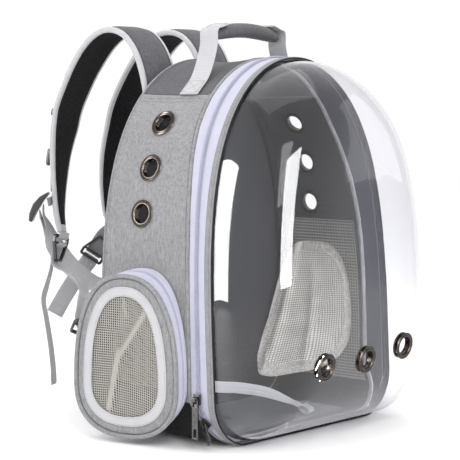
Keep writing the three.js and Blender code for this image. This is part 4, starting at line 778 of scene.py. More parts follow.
def make_finishes():
    c = colours()
    FINISHES.update(
        heather=heather("heather_cloth", tuple(c.heather)),
        dark_heather=heather("dark_heather_cloth", tuple(c.dark_heather), contrast=0.2),
        rim=heather("rim_cloth", tuple(c.heather), contrast=0.15),
        black=heather("black_cloth", tuple(c.black), contrast=0.4, sheen=0.05),
        lining=heather("dark_lining", tuple(c.lining), contrast=0.10, roughness=0.72, sheen=0.03,
                       weave=0.06, fuzz=0.05),
        # Painted shade: the tape's colour darkened for the faces that look into the cabin
        tape_back=heather("tape_back", tuple(c.tape_back), contrast=0.10, roughness=0.5,
                          sheen=0.1, weave=0.06, fuzz=0.05),
        mat=heather("mat_felt", scaled(tuple(c.lining), 3.0), contrast=0.25),
        tape=ribbed("zipper_tape", tuple(c.tape), pitch=0.0009, along=False, shade_depth=0.06),
        webbing=ribbed("woven_webbing", tuple(c.webbing)),
        # The off-white webbing darkened to 0.55: painted shade, on the far side's straps, the anchors
        # and the pad rails
        grey_webbing=ribbed("grey_webbing", scaled(tuple(c.webbing), 0.55)),
        binding=ribbed("white_binding", tuple(c.binding), pitch=0.0008, shade_depth=0.07),
        mesh=air_mesh("pad_air_mesh", tuple(c.black)),
        net=ribbed("net_thread", tuple(c.net), pitch=0.0006, shade_depth=0.15),
        # The beige net darkened to 0.085: painted shade of the pouch behind the window
        sleeve=knitted("shaded_sleeve_net", scaled(tuple(c.net), 0.085), 0.0014, 0.3),
        # The net darkened to 0.55 with near-black cells: painted shade seen behind the windows
        wall_net=knitted("wall_net", scaled(tuple(c.net), 0.55), 0.0018, 0.05),
        slack_net=knitted("slack_net", scaled(tuple(c.net), 0.66), 0.0014, 2.7),
        net_border=heather("net_border", scaled(tuple(c.net), 0.92), contrast=0.3, weave=0.5),
        # Near black: painted shade along the rim's edges and in the back corner inside
        dark_edge=heather("dark_edge", (0.02, 0.02, 0.023), contrast=0.2, sheen=0.05),
        plastic=moulded("black_plastic", tuple(c.plastic)),
        metal=plated("vent_metal", tuple(c.metal)),
        zip=plated("zip_metal", (0.060, 0.058, 0.058), roughness=0.3),
        clear=clear_plastic("clear_dome"),
        light_webbing=ribbed("light_webbing", scaled(tuple(c.webbing), 0.8)),
        coil=ribbed("coil_thread", (0.40, 0.40, 0.54), pitch=0.0005),
        thread=ribbed("light_thread", (0.36, 0.36, 0.375), pitch=0.0004),
        dark_thread=ribbed("dark_thread", (0.05, 0.05, 0.055), pitch=0.0004),
    )


# Body
def vent_places(side):
    """Centres of the side vents, read from their solids."""
    found = []
    for row in ("top", "middle", "bottom"):
        low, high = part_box(f"side_grommet_{side}_{row}")
        found.append(np.array((low + high) / 2))
    return found


def opening_share(y, z):
    """Below one inside the door's opening, one on its edge."""
    across = (y - DOOR_CENTRE_Y - DOOR_FOOT_SHIFT) / (DOOR_HALF_WIDTH - OPENING_BORDER)
    up = z - DOOR_WIDEST_HEIGHT
    drop = DOOR_WIDEST_HEIGHT - BASE_RISE - OPENING_FOOT
    tall = np.where(up >= 0, DOOR_RISE - OPENING_BORDER, drop)
    return (np.abs(across) ** DOOR_POWER + np.abs(up / tall) ** DOOR_POWER) ** (1 / DOOR_POWER)


def soft_wall(name, runs, columns, finish_out, node, side=None, thickness=CLOTH):
    """A cloth wall between the pipings: puckered by its seams, with its holes cut through."""
    points, normals, share = shell_rows(
        runs, panel_front_at, lambda z: np.full_like(z, PANEL_BACK), columns, side_sag
    )
    edge = np.minimum(share, 1 - share) * (points[:, -1, 1] - points[:, 0, 1])[:, None]
    seam = np.exp(-(edge / SEAM_REACH) ** 2)
    depth = sizes().pucker_depth
    along = np.asarray(runs)[:, None] * np.ones_like(share)
    ripples = relief(stacked([along, share * 0.02, along * 0], -1), RIPPLE_PITCH, 3.0) * seam
    soft = relief(points, SWELL_PITCH, 11.0)
    lift = depth * (0.8 * (soft - 0.9) + 0.9 * (ripples - 0.6 * seam))
    fade = smooth_step(np.minimum(share, 1 - share), 0, 0.02)
    points = points + normals * (lift * fade)[..., None]
    skip = None
    if side is not None:
        middle = (points[:-1, :-1] + points[1:, 1:]) / 2
        skip = np.zeros(middle.shape[:2], bool)
        for vent in vent_places(side):
            skip |= np.linalg.norm(middle - vent, axis=-1) < VENT_HOLE_RADIUS
        skip |= opening_share(middle[..., 1], middle[..., 2]) < 1.0
    piece = grid_object(name, points, skip=skip)
    tidy_normals(piece)
    outward = points[len(points) // 2, columns // 2] - np.array([0, 0, BODY_HEIGHT / 2])
    face = piece.data.polygons[len(piece.data.polygons) // 2]
    if Vector(face.normal).dot(Vector(outward)) < 0:
        piece.data.flip_normals()
    piece = thicken(piece, thickness)
    dress(piece, finish(finish_out), [node], crease_degrees=50)
    return line_inside(piece)


def line_inside(piece, finish_name="lining"):
    """Gives the faces that look into the cabin their dark inner finish."""
    piece.data.materials.append(finish(finish_name))
    middle = Vector((0, 0, BODY_HEIGHT * 0.45))
    for face in piece.data.polygons:
        inward = middle - face.center
        inward.y = 0
        if face.normal.dot(inward) > 0.3 * inward.length:
            face.material_index = 1
    return piece


def seam_runs(low_height, high_height, step=0.003):
    low, high = run_at(low_height), run_at(high_height)
    count = max(int(abs(low - high) / step), 2)
    return np.linspace(high, low, count + 1)


def outline_cord(name, node, middle_y, radius, finish_name):
    """A bound cord round the outline, with the slight lumps of its cloth."""
    runs = np.linspace(-HALF_RUN, HALF_RUN, 420, endpoint=False)
    x, z, nx, nz = outline_at(runs)
    angle = np.linspace(0, 2 * math.pi, 12, endpoint=False)[None]
    lumps = 1 + 0.05 * relief(stacked([x, z, x * 0], -1), 0.009, 5.0)[:, None]
    out = radius * lumps * np.cos(angle) - radius * 1.05
    y = middle_y(z)[:, None] + radius * 0.98 * np.sin(angle)
    points = stacked([x[:, None] + nx[:, None] * out, y, z[:, None] + nz[:, None] * out], -1)
    piece = tidy_normals(grid_object(name, points, wrap_rows=True, wrap_columns=True))
    return dress(piece, finish(finish_name), [node], crease_degrees=80)


def seam_line(runs, y_at, lift=0.0):
    """Points and normals along the outline at one depth, for stitches."""
    x, z, nx, nz = outline_at(runs)
    y = y_at(z) if callable(y_at) else np.full_like(z, y_at)
    points = stacked([x + nx * lift, y, z + nz * lift], -1)
    return points, stacked([nx, nx * 0, nz], -1)


def back_pad():
    """The padded back: a crowned cushion with two sewn channels between three pads."""
    border = 2 * PIPING_RADIUS + FIT_GAP
    low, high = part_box("back_panel")
    runs = np.linspace(-HALF_RUN, HALF_RUN, 220, endpoint=False)
    x, z, nx, nz = outline_at(runs)
    x, z = x - nx * border, z - nz * border
    centre_z = BODY_HEIGHT * BACK_PAD_CENTRE
    shares = np.concatenate([np.linspace(0.02, 0.9, 30), np.linspace(0.92, 1.0, 8)])
    px = x[None] * shares[:, None]
    pz = centre_z + (z[None] - centre_z) * shares[:, None]
    edge = smooth_step(1 - shares[:, None], 0, 0.07) * np.ones_like(px)
    channels = np.zeros_like(px)
    for level in CHANNEL_HEIGHTS:
        away = (pz - BODY_HEIGHT * level) / CHANNEL_HALF_WIDTH
        channels = np.maximum(channels, np.exp(-away ** 2))
    drop = BACK_EDGE_DROP * (1 - edge) + CHANNEL_DEPTH * channels * edge
    outer = stacked([px, high.y - drop - 0.0004, pz], -1)
    soft = relief(outer, 0.03, 8.0)
    outer[..., 1] -= 0.0005 * (1 + soft) * edge
    inner = stacked([px, np.full_like(px, low.y), pz], -1)[::-1]
    points = np.concatenate([outer, inner])
    piece = tidy_normals(grid_object("back_pad", points, wrap_columns=True))
    holes = bmesh.new()
    holes.from_mesh(piece.data)
    bmesh.ops.holes_fill(holes, edges=[e for e in holes.edges if e.is_boundary])
    bmesh.ops.recalc_face_normals(holes, faces=holes.faces)
    holes.to_mesh(piece.data)
    holes.free()
    dress(piece, finish("dark_heather"), ["back_panel"])
    piece.data.materials.append(finish("lining"))
    for face in piece.data.polygons:
        if face.normal.y < -0.3:
            face.material_index = 1
    return piece


class CARRIER_OT_body(bpy.types.Operator):
    """Sews the base, sides, top and padded back, with their pipings and seams"""

    bl_idname = "carrier.body"
    bl_label = "Body"

    def execute(self, context):
        gap = 0.00025
        for side, sign in SIDES.items():
            runs = sign * seam_runs(BASE_RISE + gap, TOP_SEAM_HEIGHT - gap, 0.0022)
            soft_wall(f"side_wall_{side}", runs, 58, "heather",
                      f"side_panel_{side}", side)
        top = run_at(TOP_SEAM_HEIGHT) - 0.0004
        soft_wall("top_wall", np.linspace(-top, top, 130), 46, "dark_heather",
                  "top_panel")
        base = run_at(BASE_RISE - gap)
        runs = np.linspace(base, 2 * HALF_RUN - base, 170)
        soft_wall("base_wall", runs, 30, "black", "base_panel")
        outline_cord("front_cord", "front_piping", lambda z: tape_back_at(z) + PIPING_RADIUS + FIT_GAP,
                     PIPING_RADIUS, "heather")
        outline_cord("back_cord", "back_piping", lambda z: np.full_like(z, BACK_Y - PIPING_RADIUS),
                     PIPING_RADIUS, "heather")
        back_pad()
        seams = []
        for sign in SIDES.values():
            for drop in TOP_STITCH_DROPS:
                height = TOP_SEAM_HEIGHT - drop
                run = sign * run_at(height)
                y = np.linspace(panel_front_at(height) + 0.002, PANEL_BACK - 0.002, 40)
                share = (y - y[0]) / (y[-1] - y[0])
                x, z, nx, nz = outline_at(np.full_like(y, run))
                sink = side_sag(share, z) + sizes().pucker_depth * 0.6
                points = stacked([x - nx * sink, y, z - nz * sink], -1)
                seams.append((points, stacked([nx, nx * 0, nz], -1)))
        stitches("top_seam_stitches", seams, finish("thread"))
        return {"FINISHED"}


# Front: zipper tape, coil, bound rim and dome
def band(name, node, runs, front, back, inset, thickness, columns, profile, finish_name,
         closed=False):
    """A band round the front with a cross profile given as lifts over its depth."""
    x, z, nx, nz = outline_at(runs)
    share = np.linspace(0, 1, columns + 1)
    lift = np.interp(share, *profile)[None]
    y = front(z)[:, None] * (1 - share) + back(z)[:, None] * share
    along = relief(stacked([x, z, x * 0], -1), 0.03, 2.0)[:, None] * 0.0002
    out = -inset + lift + along - 0.0002
    deep = np.full_like(out, -inset - thickness)
    outs = np.concatenate([out, deep[:, ::-1]], axis=1)
    ys = np.concatenate([y, y[:, ::-1]], axis=1)
    points = stacked([x[:, None] + nx[:, None] * outs, ys, z[:, None] + nz[:, None] * outs], -1)
    piece = grid_object(name, points, wrap_rows=closed, wrap_columns=True)
    if not closed:
        cap_ends(piece, *points.shape[:2])
    tidy_normals(piece)
    return dress(piece, finish(finish_name), [node], crease_degrees=50)


RIM_COLUMNS = 14


def dark_edges(piece, columns):
    """Gives the turned edges of a closed band a near-black finish: painted shade along the band's edges.
    """
    piece.data.materials.append(finish("dark_edge"))
    index = len(piece.data.materials) - 1
    strips = 2 * (columns + 1)
    for face in piece.data.polygons:
        if face.index % strips in (0, columns - 1, columns, strips - 1):
            face.material_index = index


def coil_teeth():
    """The zipper's coil: one small loop a pitch along the tape's middle line."""
    end = run_at(COIL_END_HEIGHT)
    runs = np.arange(-end, end, COIL_PITCH)
    x, z, nx, nz = outline_at(runs)
    middle = front_at(z) + (tape_back_at(z) - front_at(z)) / 2
    points = stacked([x, middle, z], -1)
    normals = stacked([nx, nx * 0, nz], -1)
    tangents = np.cross(normals, np.array([0, 1.0, 0]))
    vertices, faces = [], []
    half, girth = COIL_WIDTH / 2, COIL_THREAD
    for row, (point, out, along) in enumerate(zip(points, normals, tangents)):
        side = 1 if row % 2 else -1
        base = len(vertices)
        for k, (reach, rise) in enumerate(((-0.9, 0.2), (-0.35, 0.95), (0.25, 1.0), (0.95, 0.35))):
            centre = point + np.array([0, side * half * reach, 0]) + out * (rise * 0.0009 - 0.0002)
            for a, b in ((-1, 0), (0, 1), (1, 0), (0, -1)):
                vertices.append(centre + along * girth * a + out * girth * 0.7 * b)
        for k in (0, 4, 8):
            for j in range(4):
                n = (j + 1) % 4
                faces.append((base + k + j, base + k + n, base + k + 4 + n, base + k + 4 + j))
        faces.append((base, base + 1, base + 2, base + 3))
        faces.append((base + 12, base + 13, base + 14, base + 15))
    piece = tidy_normals(mesh_object("zipper_teeth", vertices, faces))
    return dress(piece, finish("coil"), ["zipper_coil"], crease_degrees=80)


def dome_grid(rows=56, columns=300):
    """Outer points of the moulded dome, from its rim to its tip."""
    depth_rows = np.array(DOME_DEPTHS)
    size_rows = np.array(DOME_SIZES)
    knots = np.linspace(0, 1, len(depth_rows))
    fine = np.linspace(0, 1, rows)
    depth = hermite(knots, depth_rows, fine)
    size = hermite(knots, size_rows, fine)
    runs = np.linspace(-HALF_RUN, HALF_RUN, columns, endpoint=False)
    x, z, _, _ = outline_at(runs)
    px = x[None] * size[:, None]
    pz = DOME_CENTRE_HEIGHT + (z[None] - DOME_CENTRE_HEIGHT) * size[:, None]
    return stacked([px, front_at(pz) - DOME_DEPTH * depth[:, None], pz], -1)


def hermite(knots, values, fine):
    """Monotone smooth reading of a table."""
    slopes = np.gradient(values, knots)
    place = np.clip(np.searchsorted(knots, fine, side="right") - 1, 0, len(knots) - 2)
    gap = knots[place + 1] - knots[place]
    t = (fine - knots[place]) / gap
    return (
        (2 * t**3 - 3 * t**2 + 1) * values[place] + (t**3 - 2 * t**2 + t) * gap * slopes[place]
        + (-2 * t**3 + 3 * t**2) * values[place + 1] + (t**3 - t**2) * gap * slopes[place + 1]
    )


def dome():
    points = dome_grid()
    tip = np.array([0, front_at(DOME_CENTRE_HEIGHT) - DOME_DEPTH * DOME_TIP_DEPTH,
                    DOME_CENTRE_HEIGHT])
    cap_rows = [points[-1] * s + tip * (1 - s) for s in (0.66, 0.33, 0.04)]
    points = np.concatenate([points, np.array(cap_rows)])
    middle = (points[:-1] + points[1:]) / 2
    middle = (middle + np.roll(middle, -1, axis=1)) / 2
    skip = np.zeros(middle.shape[:2], bool)
    for row in ("left", "centre", "right"):
        low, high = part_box(f"bubble_grommet_{row}")
        skip |= np.linalg.norm(middle - np.array((low + high) / 2), axis=-1) < VENT_HOLE_RADIUS
    piece = grid_object("clear_dome", points, wrap_columns=True, skip=skip)
    fill = bmesh.new()
    fill.from_mesh(piece.data)
    fill.verts.ensure_lookup_table()
    columns = points.shape[1]
    last = [fill.verts[(len(points) - 1) * columns + j] for j in range(columns)]
    fill.faces.new(last)
    bmesh.ops.recalc_face_normals(fill, faces=fill.faces)
    fill.to_mesh(piece.data)
    fill.free()
    face = min(piece.data.polygons, key=lambda f: f.center.y)
    if face.normal.y > 0:
        piece.data.flip_normals()
    piece = thicken(piece, DOME_WALL)
    return dress(piece, finish("clear"), ["bubble_dome"], crease_degrees=60)


class CARRIER_OT_front(bpy.types.Operator):
    """Fits the zipper tape and coil, the bound rim and the clear dome"""

    bl_idname = "carrier.front"
    bl_label = "Front"

    def execute(self, context):
        end = run_at(TAPE_END_HEIGHT)
        runs = np.linspace(-end, end, 400)
        ridges = ((0, 0.1, 0.3, 0.36, 0.40, 0.46, 0.5, 0.54, 0.60, 0.64, 0.7, 0.9, 1.0),
                  np.array((-2, 0, 1, 3, -3, 1, 1, 1, -3, 3, 1, 0, -2)) * 0.0001)
        tape = band("front_tape", "zipper_gusset", runs, lambda z: front_at(z) + FIT_GAP,
                    lambda z: tape_back_at(z) - 2 * FIT_GAP, TAPE_INSET, TAPE_THICKNESS, 26,
                    ridges, "tape")
        # The tape's faces that look into the cabin take its darkened copy: painted shade
        line_inside(tape, "tape_back")
        coil_teeth()
        loop = np.linspace(-HALF_RUN, HALF_RUN, 400, endpoint=False)
        rolled = ((0, 0.08, 0.2, 0.35, 0.5, 0.8, 0.92, 1.0),
                  np.array((-12, -3, 0, -4, 0, 1, -2, -9)) * 0.0001)
        rim = band("bound_rim", "front_rim", loop, lambda z: front_at(z) - RIM_DEPTH, front_at,
                   0.0, CLOTH, RIM_COLUMNS, rolled, "rim", closed=True)
        # The rim's faces that look into the cabin take the tape's darkened copy: painted shade
        line_inside(rim, "tape_back")
        # Painted shade along the rim's turned edges
        dark_edges(rim, RIM_COLUMNS)
        seams = [seam_line(loop[::2], lambda z: front_at(z) - RIM_DEPTH * 0.66, -0.0004)]
        stitches("rim_stitches", seams, finish("dark_thread"), thread=0.0002)
        dome()
        return {"FINISHED"}


class CARRIER_OT_metal(bpy.types.Operator):
    """Plates the vents, zip sliders and pulls, and finishes the rings"""

    bl_idname = "carrier.metal"
    bl_label = "Vents and hardware"

    def execute(self, context):
        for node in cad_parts:
            if "grommet" in node:
                turned_vent(node)
            elif node.startswith("zip_"):
                carry_over(node, "zip", 0.00025)
            elif "ring_" in node:
                carry_over(node, "plastic", 0.0007)
        return {"FINISHED"}


def carry_over(node, finish_name, bevel):
    """Keeps a rigid node and gives it rounded edges and a finish."""
    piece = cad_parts[node]
    piece.data.materials.clear()
    piece.data.materials.append(finish(finish_name))
    welded = piece.modifiers.new("weld", "WELD")
    welded.merge_threshold = 0.00002
    rounded = piece.modifiers.new("rounded", "BEVEL")
    rounded.width = bevel
    rounded.segments = 3
    rounded.limit_method = "ANGLE"
    rounded.angle_limit = math.radians(40)
    rounded.harden_normals = False
    smooth = piece.modifiers.new("even", "WEIGHTED_NORMAL")
    smooth.keep_sharp = True
    return piece


def turned_vent(node):
    """A pressed metal vent, drawn again as a smooth turned ring round its solid's axis."""
    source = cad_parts[node].data
    places = np.array([v.co for v in source.vertices])
    centre = places.mean(axis=0)
    spread = np.linalg.svd(places - centre, full_matrices=False)[2]
    axis = spread[2]
    outer = centre - np.array([0, 0, 0.2])
    if axis @ (outer * np.array([1, 1, 0.4])) < 0:
        axis = -axis
    height = (places - centre) @ axis
    flat = (places - centre) - height[:, None] * axis
    radius = np.linalg.norm(flat, axis=1)
    top, bottom = height.max(), height.min()
    big, small = radius.max(), radius.min()
    slack = top - 0.0012
    profile = [
        (small, top - 0.0016), (small + 0.0003, top - 0.0008), (small + 0.0010, top - 0.0002),
        (small + 0.0019, top - 0.0004), (small + 0.0024, top - 0.0009),
        (small + 0.0030, top - 0.0007), (big - 0.0012, top - 0.0001), (big - 0.0004, top - 0.0004),
        (big, slack + 0.0003), (big - 0.0002, slack - 0.0001), (big - 0.0026, slack - 0.0001),
        (big - 0.0030, slack - 0.0004), (big - 0.0030, bottom + 0.0011),
        (big - 0.0010, bottom + 0.0010), (big - 0.0006, bottom + 0.0006),
        (big - 0.0012, bottom + 0.0001), (small + 0.0008, bottom), (small, bottom + 0.0004),
    ]
    first = flat[np.argmax(radius)] / radius.max()
    second = np.cross(axis, first)
    angle = np.linspace(0, 2 * math.pi, 72, endpoint=False)
    ring = np.cos(angle)[:, None] * first + np.sin(angle)[:, None] * second
    points = np.array([[centre + r * turn + h * axis for r, h in profile] for turn in ring])
    name = node.replace("grommet", "vent_ring")
    piece = tidy_normals(grid_object(name, points, wrap_rows=True, wrap_columns=True))
    return dress(piece, finish("metal"), [node], crease_degrees=60)


# Doors
def egg(border, count=200):
    angle = np.linspace(0, 2 * math.pi, count, endpoint=False)
    c, s = np.cos(angle), np.sin(angle)
    tall = np.where(s >= 0, DOOR_RISE - border, DOOR_DROP - border)
    u = np.sign(c) * (DOOR_HALF_WIDTH - border) * np.abs(c) ** (2 / DOOR_POWER)
    v = np.sign(s) * tall * np.abs(s) ** (2 / DOOR_POWER)
    return u, v


def door_point(sign, u, v, w):
    """A place in the door's frame: u runs back, v up and w out of the wall."""
    u, v, w = np.broadcast_arrays(u, v, w)
    x = HALF_WIDTH + DOOR_STANDOFF + math.sin(DOOR_TILT) * u + math.cos(DOOR_TILT) * w
    y = DOOR_CENTRE_Y + math.cos(DOOR_TILT) * u - math.sin(DOOR_TILT) * w
    return stacked([sign * x, y, DOOR_WIDEST_HEIGHT + v], -1)


def even_loop(points, count):
    """A closed line of points, shared out evenly along its length."""
    closed = np.concatenate([points, points[:1]])
    run = np.concatenate([[0], np.cumsum(np.linalg.norm(np.diff(closed, axis=0), axis=1))])
    fine = np.linspace(0, run[-1], count, endpoint=False)
    return stacked([np.interp(fine, run, closed[:, k]) for k in range(closed.shape[1])], -1)


def even_egg(border, count=220):
    u, v = egg(border, 720)
    loop = even_loop(stacked([u, v], -1), count)
    return loop[:, 0], loop[:, 1]


def door_ring(name, sign, section, finish_name, node, soft=0.0002, seed=1.0, crease=60):
    """A ring round the door from a closed section of borders and heights."""
    rows = []
    for border, w in section:
        u, v = even_egg(border)
        lump = relief(stacked([u, v, u * 0], -1), 0.016, seed) * soft
        rows.append(door_point(sign, u, v, w - soft + lump))
    piece = tidy_normals(grid_object(name, np.array(rows), wrap_rows=True, wrap_columns=True))
    return dress(piece, finish(finish_name), [node], crease_degrees=crease)


# Folds of the slack net: ends as shares of the half width across and of the whole height up
NET_FOLDS = (
    (0.29, 0.17, 0.09, 0.52, 0.0052, 1.0),
    (0.10, 0.48, -0.40, 0.76, 0.0052, 0.85),
    (-0.06, 0.73, 0.04, 0.90, 0.0042, 0.7),
    (-0.30, 0.12, -0.42, 0.34, 0.006, 0.3),
)


def net_ridge(u, v):
    whole = DOOR_RISE + DOOR_DROP
    lift = np.zeros_like(u)
    for from_u, from_v, to_u, to_v, width, height in NET_FOLDS:
        start = (from_u * DOOR_HALF_WIDTH, from_v * whole - DOOR_DROP)
        du = (to_u - from_u) * DOOR_HALF_WIDTH
        dv = (to_v - from_v) * whole
        near = np.clip(((u - start[0]) * du + (v - start[1]) * dv) / (du * du + dv * dv), 0, 1)
        away = np.hypot(u - start[0] - near * du, v - start[1] - near * dv)
        lift = np.maximum(lift, height * np.exp(-((away / width) ** 2)))
    return lift


def door_net(side, sign):
    """The window's slack net: a knitted cell for each hole, closed up along the folds."""
    pitch = sizes().net_pitch
    border = DOOR_FACE_BORDER + 2 * DOOR_PIPING_RADIUS + 3 * FIT_GAP
    columns = int(DOOR_HALF_WIDTH / pitch) + 2
    rows_up = int((DOOR_RISE + DOOR_DROP) / pitch) + 10
    i, j = np.meshgrid(np.arange(-columns, columns + 1), np.arange(-5, rows_up), indexing="ij")
    plain_u = i * pitch
    plain_v = j * pitch - DOOR_DROP
    slope = 0.26 * np.log1p(np.exp(-(plain_u + 0.004) / 0.008)) * 0.008
    pull = net_ridge(plain_u, plain_v)
    v = plain_v - slope + NET_PULL * pull
    wander = relief(stacked([plain_u, plain_v, plain_u * 0], -1), 0.03, 9.0)
    u = plain_u + NET_WANDER * wander
    half_u = DOOR_HALF_WIDTH - border
    tall = np.where(v >= 0, DOOR_RISE - border, DOOR_DROP - border)
    level = np.abs(u / half_u) ** DOOR_POWER + np.abs(v / tall) ** DOOR_POWER
    inside = level < 1.0
    ridge = net_ridge(u, v)
    share = np.clip(level, 0, 1)
    gather = 0.0004 * np.sin(plain_u / 0.0021) * smooth_step(share, 0.75, 1.0)
    w = -0.0013 + NET_RIDGE_HEIGHT * 0.9 * ridge * (1 - share**2)
    w = w + 0.0007 * relief(stacked([u, v, u * 0], -1), 0.022, 4.0) * (1 - share) + gather
    places = door_point(sign, u, v, w)
    count_j = places.shape[1]
    vertices = list(places.reshape(-1, 3))
    faces = []
    open_share = 1 - sizes().net_thread / pitch
    for a in range(places.shape[0] - 1):
        for b in range(count_j - 1):
            if not (inside[a, b] and inside[a + 1, b] and inside[a, b + 1] and inside[a + 1, b + 1]):
                continue
            outer = [(a, b), (a + 1, b), (a + 1, b + 1), (a, b + 1)]
            corner = [places[p] for p in outer]
            middle = sum(corner) / 4
            hole = open_share * (1 - 0.8 * smooth_step(ridge[a, b], 0.45, 0.95))
            base = len(vertices)
            for place in corner:
                vertices.append(middle + (place - middle) * hole)
            ids = [p * count_j + q for p, q in outer]
            for k in range(4):
                n = (k + 1) % 4
                faces.append((ids[k], ids[n], base + n, base + k))
    piece = mesh_object(f"net_window_{side}", vertices, faces)
    tidy_normals(piece)
    piece = thicken(piece, 0.0004, 0.0)
    return dress(piece, finish("net"), [f"door_net_{side}"], crease_degrees=80)


def foot_point(sign, u, v, outset):
    height = np.where(v >= 0, v * 1.05, -np.abs(v / DOOR_DROP) * (DOOR_DROP - DOOR_FOOT_LIFT))
    z = DOOR_WIDEST_HEIGHT + height
    y = DOOR_CENTRE_Y + DOOR_FOOT_SHIFT + u * 0.95
    return stacked([sign * (half_width_at(z) + outset), y, z], -1)


def door_gusset(side, sign):
    """The zipped wall between the side and the door: two tapes with the coil between."""
    end_w = -DOOR_PANEL_THICKNESS - DOOR_PIPING_RADIUS
    along = np.concatenate([np.linspace(0, 0.36, 9), np.linspace(0.39, 0.61, 13),
                            np.linspace(0.64, 1, 9)])
    knots = (0, 0.06, 0.2, 0.36, 0.40, 0.45, 0.5, 0.55, 0.60, 0.64, 0.8, 0.94, 1)
    lifts = np.array((0, 3, 5, 9, 1, -1, 4, -1, 1, 9, 5, 3, 0)) * 0.0001
    bulge = np.interp(along, knots, lifts)
    layers = []
    for border in (0.001, 0.001 + DOOR_GUSSET_THICKNESS):
        u, v = even_egg(border, 260)
        foot = foot_point(sign, u, v, FIT_GAP)
        end = door_point(sign, u, v, end_w)
        inner_u, inner_v = even_egg(border + DOOR_GUSSET_THICKNESS, 260)
        spread = end - door_point(sign, inner_u, inner_v, end_w)
        spread /= np.linalg.norm(spread, axis=1)[:, None]
        slack = relief(foot, 0.028, 6.0)[None, :, None] * 0.0004 * np.sin(along * math.pi)[:, None, None]
        line = foot[None] * (1 - along)[:, None, None] + end[None] * along[:, None, None]
        layers.append(line + spread[None] * (bulge[:, None, None] + slack - 0.0002))
    points = np.concatenate([layers[0], layers[1][::-1]])
    piece = tidy_normals(grid_object(f"door_tape_{side}", points, wrap_rows=True, wrap_columns=True))
    dress(piece, finish("tape"), [f"door_gusset_{side}"], crease_degrees=60)
    piece.data.materials.append(finish("coil"))
    columns = points.shape[1]
    for face in piece.data.polygons:
        row = face.index // columns
        if row < len(along) - 1 and 0.38 < (along[row] + along[row + 1]) / 2 < 0.62:
            face.material_index = 1
    return piece


def net_sleeve(side, sign):
    """The gathered net between the wall's opening and the door's window."""
    border = 2 * DOOR_PIPING_RADIUS + FIT_GAP + DOOR_FACE_BORDER - 0.003
    edge = OPENING_BORDER + 3 * FIT_GAP
    drop = DOOR_WIDEST_HEIGHT - BASE_RISE - SLEEVE_FOOT
    layers = []
    for extra in (0.0, 0.0011):
        u, v = even_egg(border + extra, 300)
        window = door_point(sign, u, v, -DOOR_PANEL_THICKNESS - FIT_GAP)
        c = u / (DOOR_HALF_WIDTH - border - extra)
        s = v / np.where(v >= 0, DOOR_RISE - border - extra, DOOR_DROP - border - extra)
        open_u = c * (DOOR_HALF_WIDTH - edge - extra)
        open_v = s * np.where(v >= 0, DOOR_RISE - edge - extra, drop + OPENING_BORDER - edge - extra)
        z = DOOR_WIDEST_HEIGHT + open_v
        foot = stacked([sign * (half_width_at(z) - CLOTH),
                        DOOR_CENTRE_Y + DOOR_FOOT_SHIFT + open_u, z], -1)
        along = np.linspace(0, 1, 22)[:, None, None]
        spread = stacked([c * 0, c, s], -1)
        spread /= np.maximum(np.linalg.norm(spread, axis=1), 1e-6)[:, None]
        run = np.arange(len(u)) / len(u)
        gathers = 0.0009 * np.sin(run * 2 * math.pi * SLEEVE_GATHERS)[None, :, None]
        lift = (0.0015 + gathers) * np.sin(along * math.pi)
        layers.append(foot[None] * (1 - along) + window[None] * along + spread[None] * lift)
    points = np.concatenate([layers[0], layers[1][::-1]])
    piece = tidy_normals(grid_object(f"gathered_net_{side}", points, wrap_rows=True,
                                     wrap_columns=True))
    # Its finish is the net darkened as painted shade
    return dress(piece, finish("sleeve"), [f"net_sleeve_{side}"], crease_degrees=80)


class CARRIER_OT_doors(bpy.types.Operator):
    """Makes both side doors: tapes, piping, bound window, net and gathered net behind"""

    bl_idname = "carrier.doors"
    bl_label = "Side doors"

    def execute(self, context):
        face = 2 * DOOR_PIPING_RADIUS + FIT_GAP
        window = face + DOOR_FACE_BORDER
        half = DOOR_BINDING_WIDTH / 2
        low = FIT_GAP
        for side, sign in SIDES.items():
            door_gusset(side, sign)
            turn = np.linspace(0, 2 * math.pi, 14, endpoint=False)
            cord = [(DOOR_PIPING_RADIUS + DOOR_PIPING_RADIUS * 0.97 * math.cos(t),
                     -DOOR_PANEL_THICKNESS / 2 + DOOR_PIPING_RADIUS * 0.97 * math.sin(t))
                    for t in turn]
            door_ring(f"door_cord_{side}", sign, cord, "heather",
                      f"door_piping_{side}", soft=0.00006, crease=80)
            crowned = [(face, -0.0014), (face + 0.0006, -0.0007), (face + 0.0016, -0.0002)]
            crowned += [(face + share * DOOR_FACE_BORDER, 0.0) for share in (0.25, 0.4, 0.55, 0.7)]
            crowned += [(window - 0.002, -0.0001), (window, -0.0004)]
            crowned += [(window, -DOOR_PANEL_THICKNESS), (face, -DOOR_PANEL_THICKNESS)]
            door_ring(f"door_face_{side}", sign, crowned, "heather",
                      f"door_panel_{side}", soft=0.0003, seed=7.0, crease=50)
            bound = [(window - half, low), (window - half, low + 0.0007),
                     (window - half + 0.0005, low + 0.0011)]
            bound += [(window + half * share, low + 0.0012) for share in (-0.7, -0.4, 0, 0.4, 0.7)]
            bound += [(window + half - 0.0005, low + 0.0011), (window + half, low + 0.0007),
                      (window + half, low)]
            door_ring(f"window_binding_{side}", sign, bound, "binding",
                      f"door_binding_{side}", soft=0.0002, seed=2.0)
            door_net(side, sign)
            net_sleeve(side, sign)
            seams = []
            for border in (window - half * 0.72, window + half * 0.72):
                u, v = even_egg(border, 400)
                u, v = np.append(u, u[0]), np.append(v, v[0])
                points = door_point(sign, u, v, low + 0.00085)
                out = np.array([sign * math.cos(DOOR_TILT), -math.sin(DOOR_TILT), 0])
                seams.append((points, np.tile(out, (len(points), 1))))
            stitches(f"window_stitches_{side}", seams, finish("thread"),
                     thread=0.00028)
        return {"FINISHED"}


